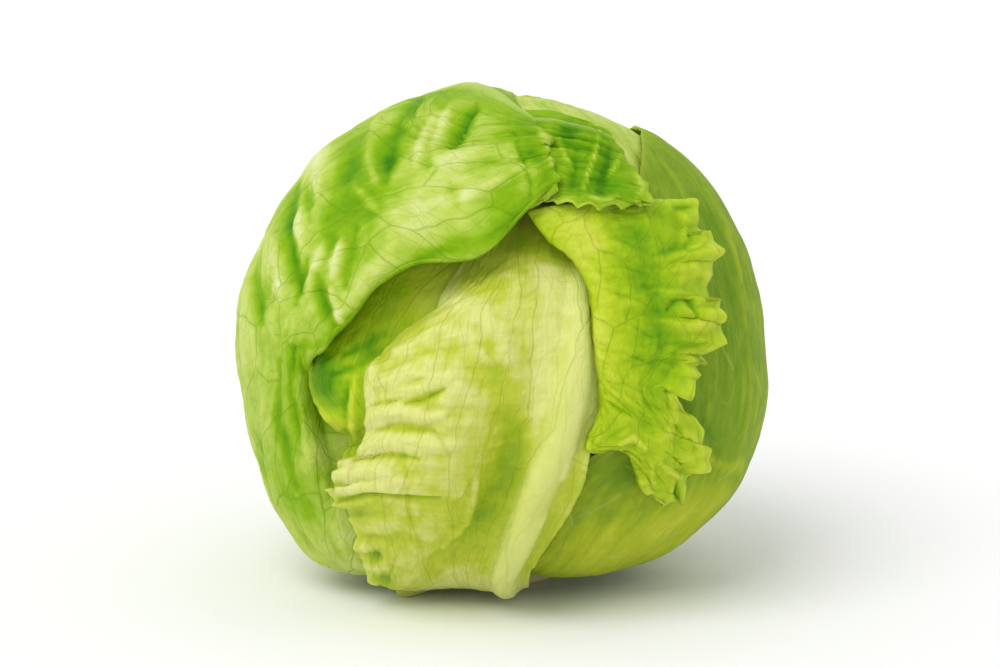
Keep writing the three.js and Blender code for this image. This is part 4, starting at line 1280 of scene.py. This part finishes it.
def stem_finish():
    """The stem: creamy, faintly fibrous, and browned where it was cut."""
    material, tree, (cut, _, _) = new_material("stem_cream")
    where = add_node(tree, "ShaderNodeTexCoord").outputs["Object"]
    fibre = uneven(tree, scaled(tree, where, (1, 1, 0.15)), 420.0, 3.0)["Fac"]
    stain = uneven(tree, where, 120.0, 4.0)["Fac"]
    flesh = mixed(tree, fibre, colour(226, 222, 184), colour(206, 208, 150))
    browned = mixed(tree, stain, colour(196, 150, 96), colour(226, 196, 142))
    height = maths(tree, "MULTIPLY_ADD", stain, 0.5, fibre)
    end_material(tree, {
        "Base Color": mixed(tree, cut, flesh, browned),
        "Roughness": maths(tree, "MULTIPLY_ADD", stain, 0.2, 0.5),
        "Normal": feigned(tree, height, STEM_RELIEF_SHARE),
        "Subsurface Weight": 0.2,
        "Subsurface Radius": (1.0, 0.8, 0.4),
        "Subsurface Scale": 4 * MM,
    })
    return material


finishes["cut_stem"] = stem_finish()


def run_nodes(tree, source, inputs):
    """Runs a Geometry Nodes tree on a mesh and returns the plain mesh that comes out of it."""
    holder = bpy.data.objects.new("holder", source)
    bpy.context.scene.collection.objects.link(holder)
    modifier = holder.modifiers.new("grow", "NODES")
    modifier.node_group = tree
    sockets = {s.name: s.identifier for s in tree.interface.items_tree if s.item_type == "SOCKET"}
    for key, value in inputs.items():
        modifier[sockets[key]] = value
    evaluated = holder.evaluated_get(bpy.context.evaluated_depsgraph_get())
    made = bpy.data.meshes.new_from_object(evaluated)
    holder.modifiers.clear()
    bpy.data.objects.remove(holder)
    return made


def points_of(mesh):
    points = np.empty(len(mesh.vertices) * 3, np.float32)
    mesh.vertices.foreach_get("co", points)
    return points.reshape(-1, 3).astype(float)


def new_tree(name, counts, measures):
    """A Geometry Nodes tree with named inputs, and the sockets that it is given."""
    tree = bpy.data.node_groups.new(name, "GeometryNodeTree")
    for in_out in ("INPUT", "OUTPUT"):
        tree.interface.new_socket("Geometry", in_out=in_out, socket_type="NodeSocketGeometry")
    for kind, keys in (("NodeSocketInt", counts), ("NodeSocketFloat", measures)):
        for key in keys:
            tree.interface.new_socket(key, in_out="INPUT", socket_type=kind)
    return tree, tree.nodes.new("NodeGroupInput").outputs


def end_tree(tree, geometry, finish):
    """Ends a Geometry Nodes tree: its copies become one plain mesh in one material."""
    real = add_node(tree, "GeometryNodeRealizeInstances", {"Geometry": geometry})
    inputs = {"Geometry": real.outputs[0], "Material": finish}
    dressed = add_node(tree, "GeometryNodeSetMaterial", inputs)
    tree.links.new(dressed.outputs[0], tree.nodes.new("NodeGroupOutput").inputs[0])
    return tree


def random_value(tree, kind, low, high, seed):
    inputs = {"Min": low, "Max": high, "Seed": seed}
    drawn = add_node(tree, "FunctionNodeRandomValue", inputs, data_type=kind)
    return next(output for output in drawn.outputs if output.enabled)


def wrapping_tree(finish):
    """Wraps copies of one cupped leaf round the middle of the head, each turned on and a little smaller."""
    tree, given = new_tree("wrapped_leaves", ("Leaves", "Seed"), ("Turn", "Shrink", "Tilt"))
    points = add_node(tree, "GeometryNodePoints", {"Count": given["Leaves"]})
    number = tree.nodes.new("GeometryNodeInputIndex").outputs[0]
    turned = maths(tree, "MULTIPLY", number, given["Turn"])
    other_way = maths(tree, "MULTIPLY", given["Tilt"], -1.0)
    lean = random_value(tree, "FLOAT", other_way, given["Tilt"], given["Seed"])
    spin = add_node(tree, "ShaderNodeCombineXYZ", {"X": lean, "Z": turned}).outputs[0]
    size = maths(tree, "SUBTRACT", 1.0, maths(tree, "MULTIPLY", number, given["Shrink"]))
    inputs = {"Points": points.outputs[0], "Instance": given["Geometry"], "Rotation": spin, "Scale": size}
    copies = add_node(tree, "GeometryNodeInstanceOnPoints", inputs)
    return end_tree(tree, copies.outputs[0], finish)


def ring_faces(rings, around):
    """Faces between rings of points, with the lower and the upper end as the two points after them."""
    index = np.arange(rings * around).reshape(rings, around)
    onward = np.roll(index, -1, axis=1)
    sides = np.stack([index[:-1], onward[:-1], onward[1:], index[1:]], -1).reshape(-1, 4)
    low = np.full(around, index.size)
    lower = np.stack([low, onward[0], index[0]], 1)
    upper = np.stack([low + 1, index[-1], onward[-1]], 1)
    return sides.tolist() + lower.tolist() + upper.tolist()


# The heart: leaves wrapped tightly round one another, seen only through the gaps
HEART_LIFT = -17.0
HEART_LEAVES = 13
HEART_SHRINK = 0.016
HEART_FLOOR_GAP = 8.0
HEART_FLOOR_SOFTNESS = 3.0
CUP_CELLS = (40, 34)
CUP_HALF_WIDTH = 82
CUP_LATITUDES = (-66, 74)
CUP_INSIDE = 0.987
CUP_LEAN_OUT = 0.02
CORE_RINGS = 33
CORE_AROUND = 64

across = np.linspace(-CUP_HALF_WIDTH, CUP_HALF_WIDTH, CUP_CELLS[0] + 1)
upwards = np.linspace(*CUP_LATITUDES, CUP_CELLS[1] + 1)
cup_lon, cup_lat = np.meshgrid(across, upwards)
cup_lon = cup_lon * (0.55 + 0.45 * np.cos(np.radians(cup_lat * 0.8)))
cup_way = direction(cup_lon, cup_lat)
lean_out = CUP_LEAN_OUT * smooth(60, CUP_HALF_WIDTH, np.abs(cup_lon)) * np.sin(np.radians(cup_lat * 9))
cup_sides = [(cup_way * (size + lean_out)[..., None]).reshape(-1, 3) for size in (1, CUP_INSIDE)]
cup = bpy.data.meshes.new("cupped_leaf")
cup.from_pydata(np.concatenate(cup_sides).tolist(), [], shell_faces(*CUP_CELLS).tolist())
wrapped = run_nodes(
    wrapping_tree(finishes["heart_leaf"]),
    cup,
    {"Leaves": HEART_LEAVES, "Turn": GOLDEN_ANGLE, "Shrink": HEART_SHRINK, "Tilt": 0.35, "Seed": 4},
)
core_lon, core_lat = np.meshgrid(
    np.arange(CORE_AROUND) * 360 / CORE_AROUND, np.linspace(-86, 86, CORE_RINGS)
)
core_way = np.concatenate([direction(core_lon, core_lat).reshape(-1, 3), [[0, 0, -1], [0, 0, 1]]])
core_size = 1 - HEART_SHRINK * HEART_LEAVES


def heart_piece():
    """The wrapped leaves and the ball they close round, brought to the form of the head."""
    shape = points_of(wrapped)
    quads = np.empty(len(wrapped.loops), np.int32)
    wrapped.loops.foreach_get("vertex_index", quads)
    faces = quads.reshape(-1, 4).tolist()
    faces += [[n + len(shape) for n in face] for face in ring_faces(CORE_RINGS, CORE_AROUND)]
    shape = np.concatenate([shape, core_way * core_size])
    size = np.linalg.norm(shape, axis=1)
    towards = shape / size[:, None]
    body = reach(towards) + HEART_LIFT
    points = MIDDLE + towards * (body * size)[:, None]
    # the heart keeps clear of the surface the head stands on
    above = (points[:, 2] - HEART_FLOOR_GAP) / HEART_FLOOR_SOFTNESS
    points[:, 2] = HEART_FLOOR_GAP + HEART_FLOOR_SOFTNESS * np.logaddexp(0, above)
    mesh = bpy.data.meshes.new("heart_leaves")
    mesh.from_pydata((points * MM).tolist(), [], faces)
    mesh.shade_smooth()
    piece = bpy.data.objects.new("heart_leaves", mesh)
    bpy.context.scene.collection.objects.link(piece)
    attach(piece, "root")
    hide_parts("heart")
    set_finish(piece, "heart_leaf")
    green = 0.3 + 0.08 * noise(points, (12, 12, 12), 31)
    paint(piece, "growth", np.stack([green, 0 * green, 0 * green], -1))
    longitude = np.arctan2(towards[:, 0], -towards[:, 1]) * body
    lay_plan(piece, np.stack([longitude, points[:, 2]], -1))


heart_piece()


def spots_tree(finish):
    """A ring of small spots, where the veins of the leaves run down through the stem."""
    tree, given = new_tree("vein_ring", ("Spots", "Seed"), ("Ring radius", "Spot radius", "Unevenness"))
    inputs = {"Resolution": given["Spots"], "Radius": given["Ring radius"]}
    ring = add_node(tree, "GeometryNodeCurvePrimitiveCircle", inputs)
    points = add_node(tree, "GeometryNodeCurveToPoints", {"Curve": ring.outputs[0]}, mode="EVALUATED")
    drawn = random_value(tree, "FLOAT_VECTOR", (-1.0, -1.0, 0.0), (1.0, 1.0, 0.0), given["Seed"])
    shift = vectors(tree, "SCALE", {0: drawn, 3: given["Unevenness"]})
    inputs = {"Geometry": points.outputs[0], "Offset": shift}
    moved = add_node(tree, "GeometryNodeSetPosition", inputs)
    inputs = {"Segments": 10, "Rings": 6, "Radius": given["Spot radius"]}
    spot = add_node(tree, "GeometryNodeMeshUVSphere", inputs)
    inputs = {"Geometry": spot.outputs[0], "Scale": (1.0, 1.0, 0.25)}
    flat = add_node(tree, "GeometryNodeTransform", inputs)
    inputs = {"Points": moved.outputs[0], "Instance": flat.outputs[0]}
    copies = add_node(tree, "GeometryNodeInstanceOnPoints", inputs)
    joined = add_node(tree, "GeometryNodeJoinGeometry")
    tree.links.new(copies.outputs[0], joined.inputs[0])
    tree.links.new(given["Geometry"], joined.inputs[0])
    return end_tree(tree, joined.outputs[0], finish)


# The stem: cut flat below, scarred where leaves were trimmed off, tapering up into the heart
STEM_RADIUS = 16.5
STEM_HEIGHT = 58.0
STEM_PROFILE = [
    (0, STEM_RADIUS), (12, STEM_RADIUS + 0.6), (22, STEM_RADIUS - 1), (38, STEM_RADIUS - 5),
    (52, STEM_RADIUS - 9), (58, STEM_RADIUS - 14),
]
STEM_AROUND = 96
RIM_HEIGHT = 0.8
RIM_ROUNDING = 0.9
SCAR_DEPTH = 0.35
OUT_OF_ROUND = 0.25
FACE_HOLLOW = 0.25
FACE_RINGS = (0.92, 0.8, 0.66, 0.5, 0.34, 0.18)
TOP_RINGS = (0.7, 0.35)

stem_heights = np.concatenate([np.linspace(0, RIM_HEIGHT, 4), np.linspace(1.4, STEM_HEIGHT, 56)])
stem_radii = np.interp(stem_heights, *np.array(STEM_PROFILE).T)
stem_radii -= RIM_ROUNDING * (1 - np.clip(stem_heights / RIM_HEIGHT, 0, 1)) ** 2
stem_turn = np.arange(STEM_AROUND) * 2 * math.pi / STEM_AROUND
scar = SCAR_DEPTH * np.sin(stem_heights[:, None] * 1.9 + 2 * stem_turn)
scar = scar * smooth(1, 4, stem_heights)[:, None]
stem_wide = stem_radii[:, None] + scar + OUT_OF_ROUND * np.sin(5 * stem_turn)
stem_up = np.repeat(stem_heights[:, None], STEM_AROUND, 1)
stem_side = np.stack([stem_wide * np.sin(stem_turn), -stem_wide * np.cos(stem_turn), stem_up], -1)
# the cut face: rings from its rim to its centre, a little sunk in the middle
face_shares = np.array(FACE_RINGS)[:, None]
face_rings = stem_side[0] * face_shares[..., None]
face_rings[..., 2] = FACE_HOLLOW * (1 - face_shares**2)
top_rings = stem_side[-1] * np.array(TOP_RINGS)[:, None, None]
top_rings[..., 2] = STEM_HEIGHT + np.array([0.3, 0.45])[:, None]
stem_rings = np.concatenate([face_rings[::-1], stem_side, top_rings])
stem_ends = [[0, 0, FACE_HOLLOW], [0, 0, STEM_HEIGHT + 0.5]]
stem_points = np.concatenate([stem_rings.reshape(-1, 3), stem_ends])
bare_stem = bpy.data.meshes.new("bare_stem")
bare_stem.from_pydata((stem_points * MM).tolist(), [], ring_faces(len(stem_rings), STEM_AROUND))
bare_stem.shade_smooth()
stem_mesh = run_nodes(
    spots_tree(finishes["cut_stem"]),
    bare_stem,
    {
        "Spots": 34,
        "Ring radius": 0.62 * STEM_RADIUS * MM,
        "Spot radius": 0.55 * MM,
        "Unevenness": 0.7 * MM,
        "Seed": 9,
    },
)
stem = bpy.data.objects.new("stem_with_scars", stem_mesh)
bpy.context.scene.collection.objects.link(stem)
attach(stem, "root")
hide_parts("stem")
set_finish(stem, "cut_stem")
cut_share = 1 - smooth(0.3, 1.6, points_of(stem_mesh)[:, 2] / MM)
paint(stem, "growth", np.stack([cut_share, 0 * cut_share, 0 * cut_share], -1))

for piece in list(bpy.context.scene.objects):
    slot_name = piece.get("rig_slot")
    if slot_name and piece.type == "MESH":
        piece.data.materials.clear()
        piece.data.materials.append(finishes[slot_name])

# The stage: a pale floor, even white light all round, and a large soft light at the upper left
FLOOR_HALF = 3.0
FLOOR_TONE = 0.9
ROOM_STRENGTH = 0.82
SUN_STRENGTH = 1.4
SUN_WIDTH = 40
SUN_FROM_ABOVE = 38
SUN_FROM_LEFT = -36

floor_mesh = bpy.data.meshes.new("floor")
floor_corners = [(x * FLOOR_HALF, y * FLOOR_HALF, 0) for x, y in ((-1, -1), (1, -1), (1, 1), (-1, 1))]
floor_mesh.from_pydata(floor_corners, [], [(0, 1, 2, 3)])
floor = bpy.data.objects.new("floor", floor_mesh)
bpy.context.scene.collection.objects.link(floor)
floor_finish = bpy.data.materials.new("pale_floor")
floor_finish.use_nodes = True
floor_skin = floor_finish.node_tree.nodes["Principled BSDF"].inputs
floor_skin["Base Color"].default_value = (FLOOR_TONE, FLOOR_TONE, FLOOR_TONE, 1)
floor_skin["Roughness"].default_value = 0.8
floor_skin["Specular IOR Level"].default_value = 0.1
floor_mesh.materials.append(floor_finish)

world = bpy.data.worlds.new("white_room")
world.use_nodes = True
world_light = world.node_tree.nodes["Background"].inputs
world_light["Color"].default_value = (1, 1, 1, 1)
world_light["Strength"].default_value = ROOM_STRENGTH
bpy.context.scene.world = world

sun = bpy.data.lights.new("key_light", "SUN")
sun.energy = SUN_STRENGTH
sun.angle = math.radians(SUN_WIDTH)
sun_holder = bpy.data.objects.new("key_light", sun)
bpy.context.scene.collection.objects.link(sun_holder)
sun_holder.rotation_euler = (math.radians(SUN_FROM_ABOVE), 0, math.radians(SUN_FROM_LEFT))

# The camera stands where the front was measured from
camera_data = bpy.data.cameras.new("camera")
camera_data.sensor_width = 36
camera_data.lens = 180
camera_data.shift_y = 0.0075
camera = bpy.data.objects.new("camera", camera_data)
bpy.context.scene.collection.objects.link(camera)
camera.location = ((MIDDLE + VIEWER * VIEW_DISTANCE) * MM).tolist()
camera.rotation_euler = (math.radians(90) - VIEW_ELEVATION, 0, 0)
bpy.context.scene.camera = camera
bpy.context.scene.view_settings.view_transform = "Standard"
